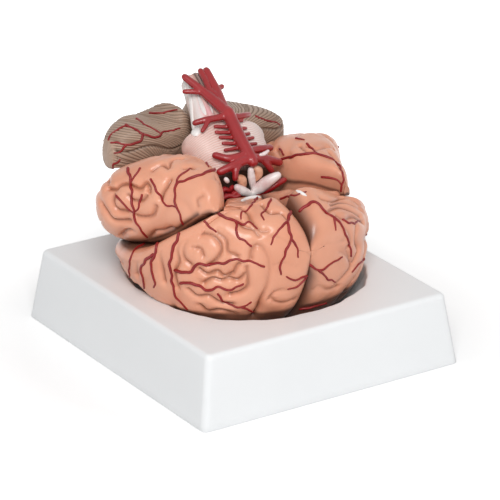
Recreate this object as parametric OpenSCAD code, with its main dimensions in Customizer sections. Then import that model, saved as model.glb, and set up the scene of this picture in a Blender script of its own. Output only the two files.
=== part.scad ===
// Brain anatomy model, life size, in nine take-apart pieces on a moulded stand.
// It stands with the base of the brain up. The front of the brain looks along -Y,
// its left side is at -X. Every height of the brain is measured from its crown,
// which rests on the floor of the stand's recess.

/* [Stand] */
// Width of the stand at its foot
stand_w = 164; // [150:1:240]
// Depth of the stand at its foot
stand_d = 183; // [170:1:260]
// Height of the stand
stand_h = 40.5; // [36:0.5:70]
// How far the left and right walls lean in on their way up
draft_x = 6; // [2:0.5:12]
// How far the front and back walls lean in on their way up
draft_y = 5.3; // [2:0.1:12]
// Rounding of the upright corners
corner_r = 4; // [2:0.5:12]
// Rounding of the edge around the top
edge_r = 3; // [1:0.5:6]
// Thickness of the moulded sheet
sheet_t = 2.5; // [1.5:0.5:4]
// Depth of the recess below the top of the stand
recess_depth = 30.5; // [20:0.5:34]
// Gap between the brain and the wall of the recess
rim_gap = 2.5; // [1.5:0.5:6]

/* [Cerebrum] */
// Breadth of the cerebrum below its temporal lobes
cerebrum_w = 143; // [130:1:154]
// Length of the cerebrum from frontal to occipital pole
cerebrum_l = 151; // [140:1:160]
// Height from the crown to the underside of the frontal lobes
cerebrum_h = 88; // [80:1:96]
// Depth of the furrows between the folds
furrow_depth = 3.2; // [1:0.1:4.5]
// Spacing of the folds
fold_pitch = 20; // [14:0.5:26]
// Space left between lobes that come apart
part_gap = 0.3; // [0.2:0.05:0.6]
// Rounding of the edges along the cleft between the hemispheres
cleft_r = 12; // [4:0.5:14]
// How far the brain leans to its right in the recess, in degrees
lean = 4; // [0:0.5:6]

/* [Brainstem] */
// Angle of the brainstem above level
stem_angle = 38; // [30:1:50]
// Length of the brainstem above its root
stem_l = 82; // [70:1:95]
// Breadth of the brainstem at the pons
pons_w = 42; // [34:1:42]
// Breadth of the brainstem at its free end
medulla_w = 13; // [11:1:22]

/* [Cerebellum] */
// How far the cerebellum reaches out to each side
cerebellum_side = 57; // [50:1:64]
// Height of the top of the cerebellum above the crown
cerebellum_h = 114; // [108:1:122]
// Depth of the furrows in the cerebellum
folia_depth = 0.9; // [0.4:0.1:1.4]

/* [Arteries] */
// Radius of the basilar artery
basilar_r = 3.6; // [2.4:0.1:4.2]
// Radius of the vertebral arteries
vertebral_r = 2.1; // [1.6:0.1:2.8]
// Radius of the side branches
branch_r = 1.7; // [1.2:0.1:2.2]
// Radius of the short twigs over the pons
twig_r = 1; // [0.7:0.05:1.3]

/* [Pegs] */
// Radius of the pegs that hold the temporal lobes
lobe_peg_r = 3; // [2:0.25:4]
// Radius of the pegs that hold the cerebellum
cerebellum_peg_r = 2.5; // [1.5:0.25:3]
// Radius of the pegs across the middle of the brain
middle_peg_r = 3; // [2:0.25:4]
// Radius of the peg across the middle of the brainstem
stem_peg_r = 1.5; // [1:0.25:2]
// Radius of the pins under the arteries
artery_pin_r = 1.2; // [1:0.1:1.6]
// How deep a peg sits in each of the two pieces it joins
peg_depth = 10; // [6:0.5:12]
// Radial clearance of a peg in the piece that pulls off it
peg_clearance = 0.05; // [0.02:0.01:0.1]

/* [Hidden] */
$fn = 32;

lobe_colour = [0.93, 0.66, 0.52];
cerebellum_colour = [0.58, 0.48, 0.42];
stem_colour = [0.94, 0.80, 0.78];
artery_colour = [0.60, 0.10, 0.11];
stand_colour = [0.95, 0.95, 0.95];
peg_colour = [0.82, 0.82, 0.80];

// The crown rests on the floor of the recess
crown_z = stand_h - recess_depth;

// The shape tables below are for a life-size brain and stretch with its sizes
fx = cerebrum_w / 143;
fy = cerebrum_l / 151;
fz = cerebrum_h / 88;
mid_y = 5;
front_l = 74;
back_l = 77;
half_w = 71.5;
wide_z = 56;
crown_depth = 57;
block_gap = 0.8;
seam_end_y = 66;
lobe_r = 7;

function clamp(v, a, b) = min(max(v, a), b);
function mix(a, b, t) = a + (b - a) * t;
function unit(v) = v / max(norm(v), 0.001);
function spow(v, e) = sign(v) * pow(abs(v), e);

// Cerebrum outline along its length, at station y of the life-size shape
function along(y) = y < mid_y ? (mid_y - y) / front_l : (y - mid_y) / back_l;
function swell(t, p) = pow(max(1 - pow(clamp(t, 0, 1), p), 0), 1 / p);
function outline_w(y) = half_w * swell(along(y), y < mid_y ? 2 : 1.7);
function level_z(y) = wide_z + (y < mid_y ? 12 * pow(along(y), 2) : 0);
function lower_h(y) = crown_depth * swell(along(y), y < mid_y ? 2.4 : 1.5);
function lower_q(y) = 1.85 + (y < mid_y ? 0.75 : 0.1) * along(y);
function upper_h(y) = 33 * swell(along(y), 2.5);

// Where the temporal lobe parts from the lobe under it
function seam_z(y) = lookup(y, [[-42, 82.5], [-36, 78.5], [-30, 74], [-22, 67.5], [-15, 62],
    [-8, 58], [0, 55], [15, 51], [30, 48.5], [45, 44.5], [60, 40.5], [seam_end_y, 39]]);

// Brainstem frame: s runs along it, h stands off its front, from this origin
stem_y0 = -9.5 * fy;
stem_z0 = 88 * fz;
stem_root = -12;
stem_end = stem_root + stem_l;
function stem_point(x, s, h) = [x, stem_y0 + s * cos(stem_angle) - h * sin(stem_angle),
    crown_z + stem_z0 + s * sin(stem_angle) + h * cos(stem_angle) - x * tan(lean)];
function root_z(y) = (stem_z0 + (stem_root - (y * fy - stem_y0) * cos(stem_angle))
    / sin(stem_angle)) / fz;

// Top of the block between the temporal lobes, which carries the brainstem
function hump_z(y) = lookup(y, [[-5, 50], [5, 69], [25, 70], [35, 60], [45, 47], [52, 41]]);
function block_x(y) = max(lookup(y, temporal_in) - block_gap, 8);
function block_z(y) = max(min(root_z(y), lookup(y, [[-41, 86], [-30, 84], [-22, 83]])),
    hump_z(y), seam_z(y));

// Furrows between the folds: the zero lines of a wandering wave
wave_k = 180 / fold_pitch;
function wander(p, side) = [p.x + 5 * sin(p.z * 4.1 + 40 * side),
    p.y + 6 * sin(p.x * 3.3 + 90) + 4 * sin(p.z * 5.3), p.z + 5 * sin(p.y * 3.7 + 25 * side)];
function wave(q) = sin(q.x * wave_k) * cos(q.y * wave_k) + sin(q.y * wave_k) * cos(q.z * wave_k)
    + sin(q.z * wave_k) * cos(q.x * wave_k);
function furrow(p, side) = exp(-pow(wave(wander([p.x * side, p.y, p.z], side)) / 0.7, 2));

// The folds are a little flatter on the front left of the model, which faces this way
show_way = [-0.5, -0.77, 0.39];
function calm(d, side) = 1 - 0.2 * clamp(([d.x * side, d.y, d.z] * show_way) * 3, 0, 1);

// Moves a point of a lobe's skin inwards where a furrow runs
function carve(p, c, m, side) = let (d = unit(p - c))
    p - d * (furrow_depth * m * furrow(p, side) * calm(d, side));

// Rounding towards the cleft between the hemispheres
function cleft(x) = x >= cleft_r ? 0 : cleft_r - sqrt(pow(cleft_r, 2) - pow(cleft_r - x, 2));

// Flattens the crown gently where it rests on the floor of the recess
function settle(z) = z > 2 ? z : 2 * exp(z / 2 - 1) - 0.6 + 0.3 * clamp(z, 0, 2);

// Puts a point of the life-size shape into its place on the right or left side
function place(p, side) = let (x = side * max(p.x * fx, part_gap / 2))
    [x, p.y * fy, crown_z + settle(p.z * fz - x * tan(lean))];

// Closed skin through rings of equal length, with a fan over each end
module skin(shape, side) {
    n = len(shape[0]);
    m = len(shape);
    rings = side > 0 ? shape : [for (r = shape) [for (i = [n - 1:-1:0]) r[i]]];
    first = m * n;
    ends = [for (r = [rings[0], rings[m - 1]]) [for (p = r) 1] * r / n];
    tris = concat(
        [for (j = [0:n - 1]) [first, (j + 1) % n, j]],
        [for (j = [0:n - 1]) [first + 1, (m - 1) * n + j, (m - 1) * n + (j + 1) % n]],
        [for (i = [0:m - 2], j = [0:n - 1]) let (a = i * n + j, b = i * n + (j + 1) % n)
            each [[a, b, a + n], [b, b + n, a + n]]]);
    polyhedron(points = [for (r = rings) each r, each ends], faces = tris, convexity = 6);
}

// One point on the lower side of the cerebrum: a runs from the cleft out to the side
function lower_point(y, a) = let (x = outline_w(y) * pow(sin(a), 2 / lower_q(y)),
    z = level_z(y) - lower_h(y) * pow(cos(a), 2 / lower_q(y)))
    [x, y, max(z, 0) + cleft(x) * 0.8];

// One point on the upper side of the frontal lobe: a runs from the side in to the cleft
function upper_point(y, a) = let (x = outline_w(y) * pow(cos(a), 0.87),
    z = level_z(y) + upper_h(y) * pow(sin(a), 0.87))
    [x, y, z - cleft(x)];

// Angle at which the lower or upper side reaches the height z
function lower_angle(y, z) = acos(pow(clamp((level_z(y) - z) / max(lower_h(y), 0.01), 0, 1),
    lower_q(y) / 2));
function upper_angle(y, z) = asin(pow(clamp((z - level_z(y)) / max(upper_h(y), 0.01), 0, 1),
    1 / 0.87));

// Part of the outer wall below the cleft or seam, in 24 steps
lower_steps = [0, 0.03, 0.07, 0.11, 0.155, 0.2, 0.245, 0.29, 0.335, 0.38, 0.425, 0.47, 0.515,
    0.56, 0.605, 0.65, 0.695, 0.74, 0.785, 0.83, 0.875, 0.92, 0.96, 1];
function wall_point(y, t, z_end) = let (
    share = z_end > level_z(y) ? 100 / (100 + z_end - level_z(y)) : 1,
    a = lower_angle(y, min(z_end, level_z(y))))
    t <= share ? lower_point(y, max(a * t / share, 0.01))
        : upper_point(y, upper_angle(y, z_end) * (t - share) / (1 - share));

function frontal_top(y) = let (z_end = mix(level_z(y), level_z(y) + upper_h(y), 0.8))
    [for (i = [1:11]) upper_point(y, mix(upper_angle(y, z_end), 89.9, i / 11))];

// Seam, step and top of the block behind the frontal lobe, 11 points
function seam_top(y) = let (w = wall_point(y, 1, seam_z(y) - lobe_r).x, s = seam_z(y),
    k = min(w / 24, 1), b = max(block_z(y), s + 0.4), x = min(block_x(y), w - 12 * k),
    dip = cleft_r * clamp((-20 - y) / 12, 0, 0.9))
    [[w - 1.5 * k, y, s - lobe_r * 0.45], [w - 5 * k, y, s - 1.2], [w - 10 * k, y, s],
    [mix(w - 10 * k, x, 0.5), y, s], [x + 0.1, y, s], [x, y, mix(s, b, 0.5)],
    [x - 0.6, y, b - min(2, (b - s) / 4)], [x - 2, y, b], [x * 0.45, y, b - dip * 0.04],
    [x * 0.2, y, b - dip * 0.3], [0, y, b - dip]];

// Ring of the frontal and parietal lobe at station y
function parietal_ring(y, side) = let (
    front = y < -44,
    pole = clamp((y + 67.5) / 10, 0.1, 1),
    c = [outline_w(y) * 0.25, clamp(y, -35, 45), level_z(y) - 8],
    z_end = front ? mix(level_z(y), level_z(y) + upper_h(y), 0.8) : seam_z(y) - lobe_r,
    wall = [for (t = lower_steps) let (p = wall_point(y, t, z_end))
        carve(p, c, pole * clamp((p.x - 1) / 6, 0, 1) * clamp((seam_end_y - y) / 6, 0, 1)
            * (front ? 1 : clamp((1 - t) * 8, 0, 1)), side)],
    top = [for (p = front ? frontal_top(y) : seam_top(y))
        carve(p, c, front ? pole * clamp((p.x - 1) / 6, 0, 1) : 0, side)],
    low = wall[0],
    high = top[10],
    inner = [for (i = [1:4]) [0, mix(high.y, low.y, i / 5), mix(high.z, low.z, i / 5)]])
    [for (p = concat(wall, top, inner)) place(p, side)];

parietal_stations = [-68.5, -67, -64, -60, -55.5, -51, -47, -44.5, -41, -36, -30, -25, -20,
    -15, -10, -5, 0, 5, 10, 15, 20, 25, 30, 35, 40, 45, 50, 55, 60, seam_end_y];

// Temporal and occipital lobe: inner side, outer side, top and level along its length
temporal_in = [[-43.5, 42], [-41, 38], [-36, 33.5], [-28, 28.5], [-20, 24.5], [-12, 21.5],
    [0, 21.3], [28, 23], [36, 22], [45, 14], [55, 3], [65, 0], [89, 0]];
temporal_out = [[-43.5, 45], [-41, 48], [-36, 51], [-28, 54.5], [-20, 58.5], [-10, 64],
    [0, 69.5], [10, 74.5], [18, 76.5], [25, 75.5], [32, 72], [40, 66.5], [50, 60], [60, 53],
    [70, 44], [78, 33], [82, 22]];
temporal_top = [[-43.5, 88], [-41, 95], [-36, 100.5], [-28, 103.5], [-18, 105], [-5, 105],
    [5, 103.5], [20, 96], [28, 90], [36, 84], [45, 80], [55, 76.5], [65, 71.5], [75, 65],
    [82, 60]];
temporal_level = [[-43.5, 85], [-36, 83], [-20, 81], [0, 79], [20, 76], [36, 70], [45, 65],
    [60, 58], [75, 53], [82, 54]];
function rear_bottom(y) = max(level_z(y) - lower_h(y), 36.4);

// The right temporal lobe is slimmer and lower in front than the left one
function trim_out(y, side) = side < 0 ? 0 : lookup(y, [[-43.5, 0.5], [-36, 3], [-24, 6],
    [-5, 6.5], [10, 4], [30, 0]]);
function trim_top(y, side) = side < 0 ? 0 : lookup(y, [[-43.5, 0], [-36, 2.5], [-26, 4],
    [0, 3.5], [20, 1], [30, 0]]);

// Ring of the temporal and occipital lobe at station y: close steps on its outer side
temporal_steps = [for (i = [0:24]) 8.8 * i - 65, for (i = [1:7]) 146.2 + 18.5 * i];
function temporal_ring(y, side) = let (
    x0 = lookup(y, temporal_in),
    x1 = lookup(y, temporal_out) - trim_out(y, side),
    z0 = lookup(y, temporal_level),
    up = lookup(y, temporal_top) - trim_top(y, side) - z0,
    rear = y > seam_end_y + part_gap,
    floor_z = rear ? rear_bottom(y) : seam_z(min(y, seam_end_y)) + part_gap / fz,
    down = rear ? z0 - floor_z : (z0 - floor_z) * (y < -38 ? 0.75 : 1.07),
    xm = mix(x0, x1, 0.42),
    c = [xm, clamp(y, -22, 62), z0])
    [for (a = temporal_steps) let (out = cos(a) > 0, e = out || sin(a) > 0 ? 0.86 : 0.55,
        p = [xm + (out ? x1 - xm : xm - x0) * spow(cos(a), e), y,
            z0 + (sin(a) > 0 ? up : down) * spow(sin(a), e)],
        poles = clamp((83 - y) / 14, 0.1, 1) * clamp((y + 44) / 8, 0.1, 1),
        q = carve(p, c, p.x < x0 + 3 || p.z < floor_z + 3 ? 0 : poles, side))
        place([q.x, q.y, max(q.z, floor_z)], side)];

temporal_stations = [-43.5, -42.5, -40.5, -37, -32, -27, -22, -17, -12, -7, -2, 3, 8, 13, 18,
    23, 28, 33, 38, 43, 48, 53, 58, 64, seam_end_y + 0.1, seam_end_y + 0.8, 74, 77.5, 80, 81.5];

// Half cerebellum: front, back and top from the middle out to the side
side_f = cerebellum_side / 58;
cerebellum_front = [[2.5, 43], [8, 38], [14, 35], [24, 33.5], [36, 34], [46, 35.5], [53, 37],
    [56.5, 39], [58, 41]];
cerebellum_back = [[2.5, 66], [8, 71], [14, 74], [24, 75], [36, 71], [46, 64], [53, 57.5],
    [56.5, 54], [58, 51]];
cerebellum_top = [[2.5, -9], [8, -3], [14, -1.5], [24, -3.5], [36, -6], [46, -8], [53, -10.5],
    [56.5, -13], [58, -15.5]];
cerebellum_stations = [2.5, 4.5, 8, 12, 16, 21, 26, 31, 36, 41, 46, 50, 54, 56.5, 58];

// Ring of the cerebellum at distance x from the middle, 18 points
function cerebellum_ring(x, side) = let (
    y0 = lookup(x, cerebellum_front),
    y1 = lookup(x, cerebellum_back),
    z1 = cerebellum_h / fz + lookup(x, cerebellum_top),
    z0 = mix(z1, 84, 0.5),
    ym = mix(y0, y1, 0.4))
    [for (i = [0:17]) let (a = 360 - i * 20, fore = cos(a) < 0,
        y = ym + (fore ? ym - y0 : y1 - ym) * spow(cos(a), 0.75),
        z = z0 + (z1 - z0) * 1.0 * spow(sin(a), 0.75),
        g = folia_depth * (i % 2))
        place([x * side_f / fx, y - g * cos(a), max(z - g * sin(a),
            lookup(y, temporal_top) + part_gap / fz)], side)];

// Brainstem: half width, front and back along s
stem_w = [[stem_root, 0.36], [0, 0.4], [8, 0.47], [14, 0.5], [28, 0.5], [35, 0.42]];
function stem_half(s) = s < 35 ? pons_w * lookup(s, stem_w)
    : mix(pons_w * 0.42, medulla_w / 2, pow(clamp((s - 35) / (stem_end - 35), 0, 1), 0.42));
stem_front = [[stem_root, -9], [0, -4], [6, 3], [11, 5.4], [20, 6.2], [32, 6], [36, 4.2],
    [42, 3.4], [56, 2.6], [70, 1.6], [90, 1]];
stem_back = [[stem_root, 21], [8, 22], [32, 21], [42, 17.5], [56, 15], [70, 12.5], [90, 11]];
stem_stations = [stem_root, -6, 0, 6, 11, 17, 23, 29, 33, 36.5, 42, 49, 56, stem_end - 6,
    stem_end - 1.5, stem_end];

function stem_ring(s, side) = let (
    end = s > stem_end - 1 ? 0.82 : 1,
    w = stem_half(s) * end,
    f = lookup(s, stem_front) * end,
    b = lookup(s, stem_back) * end,
    h0 = (f - b) / 2)
    [for (i = [0:12]) let (a = 90 - i * 15,
        p = stem_point(side * max(w * pow(abs(cos(a)), 0.85), part_gap / 2), s,
            h0 + (f + b) / 2 * spow(sin(a), 0.85))) p];

// Straight round bar between two points
module bar(a, b, r, fn = 32) {
    v = b - a;
    translate(a)
        rotate([0, acos(v.z / norm(v)), atan2(v.y, v.x)])
            cylinder(r = r, h = norm(v), $fn = fn);
}

// Round tube along points, with a slightly fuller ball at each one after the first
module tube(points, r, fn = 32) {
    for (i = [1:len(points) - 1]) {
        bar(points[i - 1], points[i], r, fn);
        translate(points[i])
            sphere(r = r + 0.04, $fn = fn);
    }
}

// Stand
module stand_body(t) {
    hull()
        for (x = [-1, 1], y = [-1, 1]) {
            translate([x * (stand_w / 2 - corner_r - t), y * (stand_d / 2 - corner_r - t),
                t > 0 ? -1 : 0])
                cylinder(r = corner_r, h = 0.6, $fn = 20);
            for (k = [0, 0.5, 0.85, 1])
                translate([x * (stand_w / 2 - draft_x - corner_r - t),
                    y * (stand_d / 2 - draft_y - corner_r - t),
                    stand_h - edge_r * (1 - k) - t - 0.1])
                    cylinder(r = corner_r - edge_r * (1 - sqrt(1 - k * k)) * 0.9, h = 0.1, $fn = 20);
        }
}

// Outline of the recess at height z above the crown, from the brain that lies in it
function bowl_k(z) = clamp((wide_z - z / fz) / crown_depth, 0, 0.965);
function bowl_w(z) = fx * half_w * pow(1 - pow(bowl_k(z), 1.85), 1 / 1.85);
module bowl(t, over) {
    levels = [recess_depth, 22, 13, 5, 0];
    hull()
        for (i = [0:4]) {
            z = min(levels[i], recess_depth - 0.2 * i);
            left = bowl_w(z - bowl_w(z) * tan(lean)) + rim_gap + t;
            right = bowl_w(z + bowl_w(z) * tan(lean)) + rim_gap + t;
            y0 = fy * (mid_y - front_l * swell(bowl_k(z + 2), 2.4)) - rim_gap - t;
            y1 = fy * (mid_y + back_l * swell(bowl_k(z + 2), 1.5)) + rim_gap + t;
            translate([0, (y0 + y1) / 2, crown_z + z - (i == 4 ? t : 0) - (i == 0 ? 0.1 : 0)])
                linear_extrude(height = i == 0 ? 0.1 + over : 0.1)
                    polygon([for (a = [0:12:348]) [(cos(a) > 0 ? right : left)
                        * spow(cos(a), 0.87), (y1 - y0) / 2 * spow(sin(a), 0.87)]]);
        }
}

module stand() {
    color(stand_colour)
        difference() {
            union() {
                difference() {
                    stand_body(0);
                    stand_body(sheet_t);
                }
                bowl(sheet_t, 0);
            }
            bowl(0, 5);
        }
}

// Peg places: points on the seam of each pair of pieces
lobe_peg_places = [for (p = [[-27.6, 78.6], [17.4, 59]]) [lookup(p.x, temporal_in), p.x, p.y]];
middle_peg_places = [[0, -22.6, 52], [0, 32.6, 36]];
cerebellum_peg_at = [7, stem_y0 + 46.5, crown_z + stem_z0 + 7];
stem_peg_at = [0, 24, -8];

// Peg along X through a seam at point p
module cross_peg(p, r, inner, outer, side) {
    back = side > 0 ? inner : outer;
    translate([p.x - back * cos(lean), p.y, p.z + back * sin(lean)])
        rotate([0, 90 + lean, 0])
            cylinder(r = r, h = inner + outer);
}

module temporal_pegs(side, r, extra) {
    for (p = lobe_peg_places)
        cross_peg(place(p, side), r, peg_depth, peg_depth + 2 + extra, side);
}

module hemisphere_pegs_at(r) {
    for (p = middle_peg_places)
        cross_peg([0, p.y * fy, crown_z + p.z * fz], r, peg_depth, peg_depth, 1);
}

module stem_peg_shape() {
    cross_peg(stem_point(stem_peg_at.x, stem_peg_at.y, stem_peg_at.z), stem_peg_r,
        peg_depth * 0.6, peg_depth * 0.6, 1);
}

module cerebellum_peg_shape(side, r, extra) {
    translate([side * cerebellum_peg_at.x, cerebellum_peg_at.y - peg_depth,
        cerebellum_peg_at.z - side * cerebellum_peg_at.x * tan(lean)])
        rotate([-90, 0, 0])
            cylinder(r = r, h = 2 * peg_depth + 4 + extra);
}

// Pins under the arteries, each in its own half of the brainstem
artery_pins = [[-8.5, 36], [8.5, 12.5]];
artery_gap = 0.25;
artery_h = lookup(20, stem_front) + basilar_r + artery_gap;
pin_depth = 6;
branch_drop = basilar_r - branch_r;
module artery_pin(p, r, extra) {
    bar(stem_point(p.x, p.y, lookup(p.y, stem_front) - pin_depth - extra),
        stem_point(p.x, p.y, artery_h - branch_drop), r);
}

module frontoparietal_lobe(side) {
    color(lobe_colour)
        difference() {
            skin([for (y = parietal_stations) parietal_ring(y, side)], side);
            temporal_pegs(side, lobe_peg_r, 0);
            hemisphere_pegs_at(middle_peg_r);
        }
}

module temporo_occipital_lobe(side) {
    color(lobe_colour)
        difference() {
            skin([for (y = temporal_stations) temporal_ring(y, side)], side);
            temporal_pegs(side, lobe_peg_r + peg_clearance, 1);
        }
}

// Stumps of the optic nerve and the lumps by the midline, cast with the brainstem
function base_point(p, side) = [side * p.x, stem_y0 + p.y,
    crown_z + stem_z0 + p.z - side * p.x * tan(lean)];
module nerve_stumps(side) {
    optic = side > 0 ? [[4, 0, -9], [12, -8, 2.5]] : [[4, 0, -9], [9.5, -3, -2]];
    lump = side > 0 ? [[3, 0, -8], [3, -2.5, 4.5]] : [[5, 1, -7], [5, 1, 0.5]];
    tube([for (p = optic) base_point(p, side)], side > 0 ? 3.2 : 2.7);
    tube([for (p = lump) base_point(p, side)], 2.7);
}

module brainstem_half(side) {
    color(stem_colour)
        difference() {
            union() {
                skin([for (s = stem_stations) stem_ring(s, side)], -side);
                nerve_stumps(side);
            }
            stem_peg_shape();
            cerebellum_peg_shape(side, cerebellum_peg_r, 0);
            for (p = artery_pins)
                artery_pin(p, artery_pin_r + peg_clearance, 0.5);
        }
}

module cerebellum_half(side) {
    color(cerebellum_colour)
        difference() {
            skin([for (x = cerebellum_stations) cerebellum_ring(x, side)], side);
            cerebellum_peg_shape(side, cerebellum_peg_r + peg_clearance, 1);
        }
}

// Artery along points in brainstem places: x, s and height off the basilar line
function vessel_points(list) = [for (p = list) stem_point(p.x, p.y, artery_h + p.z)];
module vessel(list, r) {
    tube(vessel_points(list), r, 8);
}

module basilar_artery_tree() {
    color(artery_colour) {
        vessel([[0, 20, 0], [0, 6, 0]], basilar_r);
        vessel([[0, 19.9, 0], [0, 37, 0]], basilar_r);
        vessel([[-0.4, 38, 0], [-3, 50, -4.3], [-10, 65, -5.5]], vertebral_r);
        vessel([[0.4, 37.8, 0], [2.5, 50, -4.3], [4.5, 68, -5.5]], vertebral_r);
        vessel([[-3.5, 54, -4.6], [-7, 56, -5], [-14, 58, -7.6]], branch_r);
        vessel([[3, 54.5, -4.6], [8.5, 56.5, -5.2]], branch_r * 0.8);
        for (side = [-1, 1]) {
            vessel([[side, 35, 0], [side * 8.5, 36, -branch_drop], [side * 17.5, 37.5, -6]], branch_r);
            vessel([[side, 9.5, 0], [side * 8.5, 11.5, -branch_drop], [side * 17, 14.5, -4.5]],
                branch_r * 1.1);
            vessel([[side, 6, 0], [side * 7, 4.5, -1], [side * 18.5, 4, -5]], branch_r * 1.2);
            for (i = [0:4]) {
                twig = vessel_points([[side, 15 + 3.5 * i, twig_r - basilar_r],
                    [side * 9.8, 16.5 + 3.7 * i, twig_r - basilar_r - 0.4]]);
                bar(twig[0], twig[1], twig_r, 8);
            }
        }
        for (p = artery_pins)
            artery_pin(p, artery_pin_r, 0);
    }
}

module lobe_pegs(side) {
    color(peg_colour)
        temporal_pegs(side, lobe_peg_r, 0);
}

module cerebellum_peg(side) {
    color(peg_colour)
        cerebellum_peg_shape(side, cerebellum_peg_r, 0);
}

module hemisphere_pegs() {
    color(peg_colour)
        hemisphere_pegs_at(middle_peg_r);
}

module brainstem_peg() {
    color(peg_colour)
        stem_peg_shape();
}

stand();
frontoparietal_lobe(-1);  // left_frontoparietal_lobe
frontoparietal_lobe(1);  // right_frontoparietal_lobe
temporo_occipital_lobe(-1);  // left_temporo_occipital_lobe
temporo_occipital_lobe(1);  // right_temporo_occipital_lobe
brainstem_half(-1);  // left_brainstem_half
brainstem_half(1);  // right_brainstem_half
cerebellum_half(-1);  // left_cerebellum_half
cerebellum_half(1);  // right_cerebellum_half
basilar_artery_tree();
lobe_pegs(-1);  // left_temporal_pegs
lobe_pegs(1);  // right_temporal_pegs
cerebellum_peg(-1);  // left_cerebellum_peg
cerebellum_peg(1);  // right_cerebellum_peg
hemisphere_pegs();
brainstem_peg();
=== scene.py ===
import math

import bpy
import numpy as np
from mathutils import Matrix, Vector
from mathutils.bvhtree import BVHTree
from mathutils.kdtree import KDTree


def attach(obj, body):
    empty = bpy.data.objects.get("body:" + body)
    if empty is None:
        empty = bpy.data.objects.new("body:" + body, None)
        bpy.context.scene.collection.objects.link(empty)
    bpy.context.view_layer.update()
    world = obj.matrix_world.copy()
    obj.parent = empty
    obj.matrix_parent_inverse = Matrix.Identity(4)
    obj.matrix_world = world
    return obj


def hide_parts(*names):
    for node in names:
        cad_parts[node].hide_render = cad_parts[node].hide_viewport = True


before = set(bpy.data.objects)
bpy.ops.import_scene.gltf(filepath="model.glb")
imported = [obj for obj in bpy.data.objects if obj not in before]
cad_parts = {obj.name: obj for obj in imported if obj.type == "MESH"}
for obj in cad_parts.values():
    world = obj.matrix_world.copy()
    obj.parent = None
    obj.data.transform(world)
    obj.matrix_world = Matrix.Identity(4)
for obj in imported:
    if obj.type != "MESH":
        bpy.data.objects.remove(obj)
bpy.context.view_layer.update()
FINE = 0.85  # how fine the grids are
NEAR = {-1: FINE * 1.12, 1: FINE * 0.92}  # the left side faces the photo's camera

# ---- Camera of the photo, in millimetres of the shared frame ----
EYE = np.array([-987.9, -1528.6, 814.5])
AIM = np.array([14.52, 13.01, 44.98])
FOCAL, PICTURE = 3622.0, 500  # in pixels
MM = 0.001
BACK = (EYE - AIM) / np.linalg.norm(EYE - AIM)
RIGHT = np.cross([0, 0, 1], BACK)
RIGHT /= np.linalg.norm(RIGHT)
UP = np.cross(BACK, RIGHT)


def pixel_ray(u, v):
    """Direction from the camera through pixel u, v of the 500 x 500 picture."""
    d = -BACK + RIGHT * ((u - PICTURE / 2) / FOCAL) + UP * ((PICTURE / 2 - v) / FOCAL)
    return d / np.linalg.norm(d)


# ---- Shape of the brain, as in the part's source but for the trims and the pole lift ----
CROWN_Z = 10.0
LEAN = math.tan(math.radians(4))
GAP = 0.3
MID_Y, FRONT_RUN, REAR_RUN = 5, 74, 77  # broadest place, and the reach to both ends
HALF_W, LEVEL, LOWER_H, UPPER_H = 71.5, 56, 57, 33
ROUND = 0.87  # power of the section above the level


def lut(x, table):
    """Value of a table of (x, value) pairs, straight between them."""
    return np.interp(x, [t[0] for t in table], [t[1] for t in table])


def mix(a, b, t):
    return a + (b - a) * t


def rise(v, start, run):
    """0 up to start, 1 from start + run on, straight between."""
    return np.clip((v - start) / run, 0, 1)


def fall(v, end, run):
    """1 up to end - run, 0 from end on, straight between."""
    return np.clip((end - v) / run, 0, 1)


def bell(v, width):
    """1 where v is nought, less to both sides."""
    return np.exp(-(v / width) ** 2)


def unit(v):
    return v / np.maximum(np.linalg.norm(v, axis=-1, keepdims=True), 1e-9)


def relaxed(points):
    """Points drawn a little towards the middle of their neighbours, ends kept."""
    points[1:-1] = (points[:-2] + 2 * points[1:-1] + points[2:]) / 4
    return points


def swell(t, p):
    """Quarter of a rounded outline: 1 at t = 0, 0 at t = 1."""
    return np.maximum(1 - np.clip(t, 0, 1) ** p, 0) ** (1 / p)


def spow(v, e):
    """Power that keeps the sign."""
    return np.sign(v) * np.abs(v) ** e


def along(y):
    """Share of the way from the broadest place to the front or rear end."""
    return (MID_Y - y) / FRONT_RUN if y < MID_Y else (y - MID_Y) / REAR_RUN


def outline_w(y):
    return HALF_W * swell(along(y), 2 if y < MID_Y else 1.7)


def level_z(y):
    return LEVEL + (12 * along(y) ** 2 if y < MID_Y else 0)


def lower_h(y):
    return LOWER_H * swell(along(y), 2.4 if y < MID_Y else 1.5)


def lower_q(y):
    return 1.85 + (0.75 if y < MID_Y else 0.1) * along(y)


def upper_h(y):
    return UPPER_H * swell(along(y), 2.5)


def seam_z(y):
    return lut(y, [(-42, 82.5), (-36, 78.5), (-30, 74), (-22, 67.5), (-15, 62), (-8, 58), (0, 55),
                   (15, 51), (30, 48.5), (45, 44.5), (60, 40.5), (66, 39)])


# Temporal and occipital lobe at each y: inner and outer edge, top, and level of most breadth
TEMPORAL_IN = [(-43.5, 42), (-41, 38), (-36, 33.5), (-28, 28.5), (-20, 24.5), (-12, 21.5),
               (0, 21.3), (28, 23), (36, 22), (45, 14), (55, 3), (65, 0), (89, 0)]
TEMPORAL_OUT = [(-43.5, 45), (-41, 48), (-36, 51), (-28, 54.5), (-20, 58.5), (-10, 64),
                (0, 69.5), (10, 74.5), (18, 76.5), (25, 75.5), (32, 72), (40, 66.5), (50, 60),
                (60, 53), (70, 44), (78, 33), (82, 22)]
TEMPORAL_TOP = [(-43.5, 88), (-41, 95), (-36, 100.5), (-28, 103.5), (-18, 105), (-5, 105),
                (5, 103.5), (20, 96), (28, 90), (36, 84), (45, 80), (55, 76.5), (65, 71.5),
                (75, 65), (82, 60)]
TEMPORAL_LEVEL = [(-43.5, 85), (-36, 83), (-20, 81), (0, 79), (20, 76), (36, 70), (45, 65),
                  (60, 58), (75, 53), (82, 54)]
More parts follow.
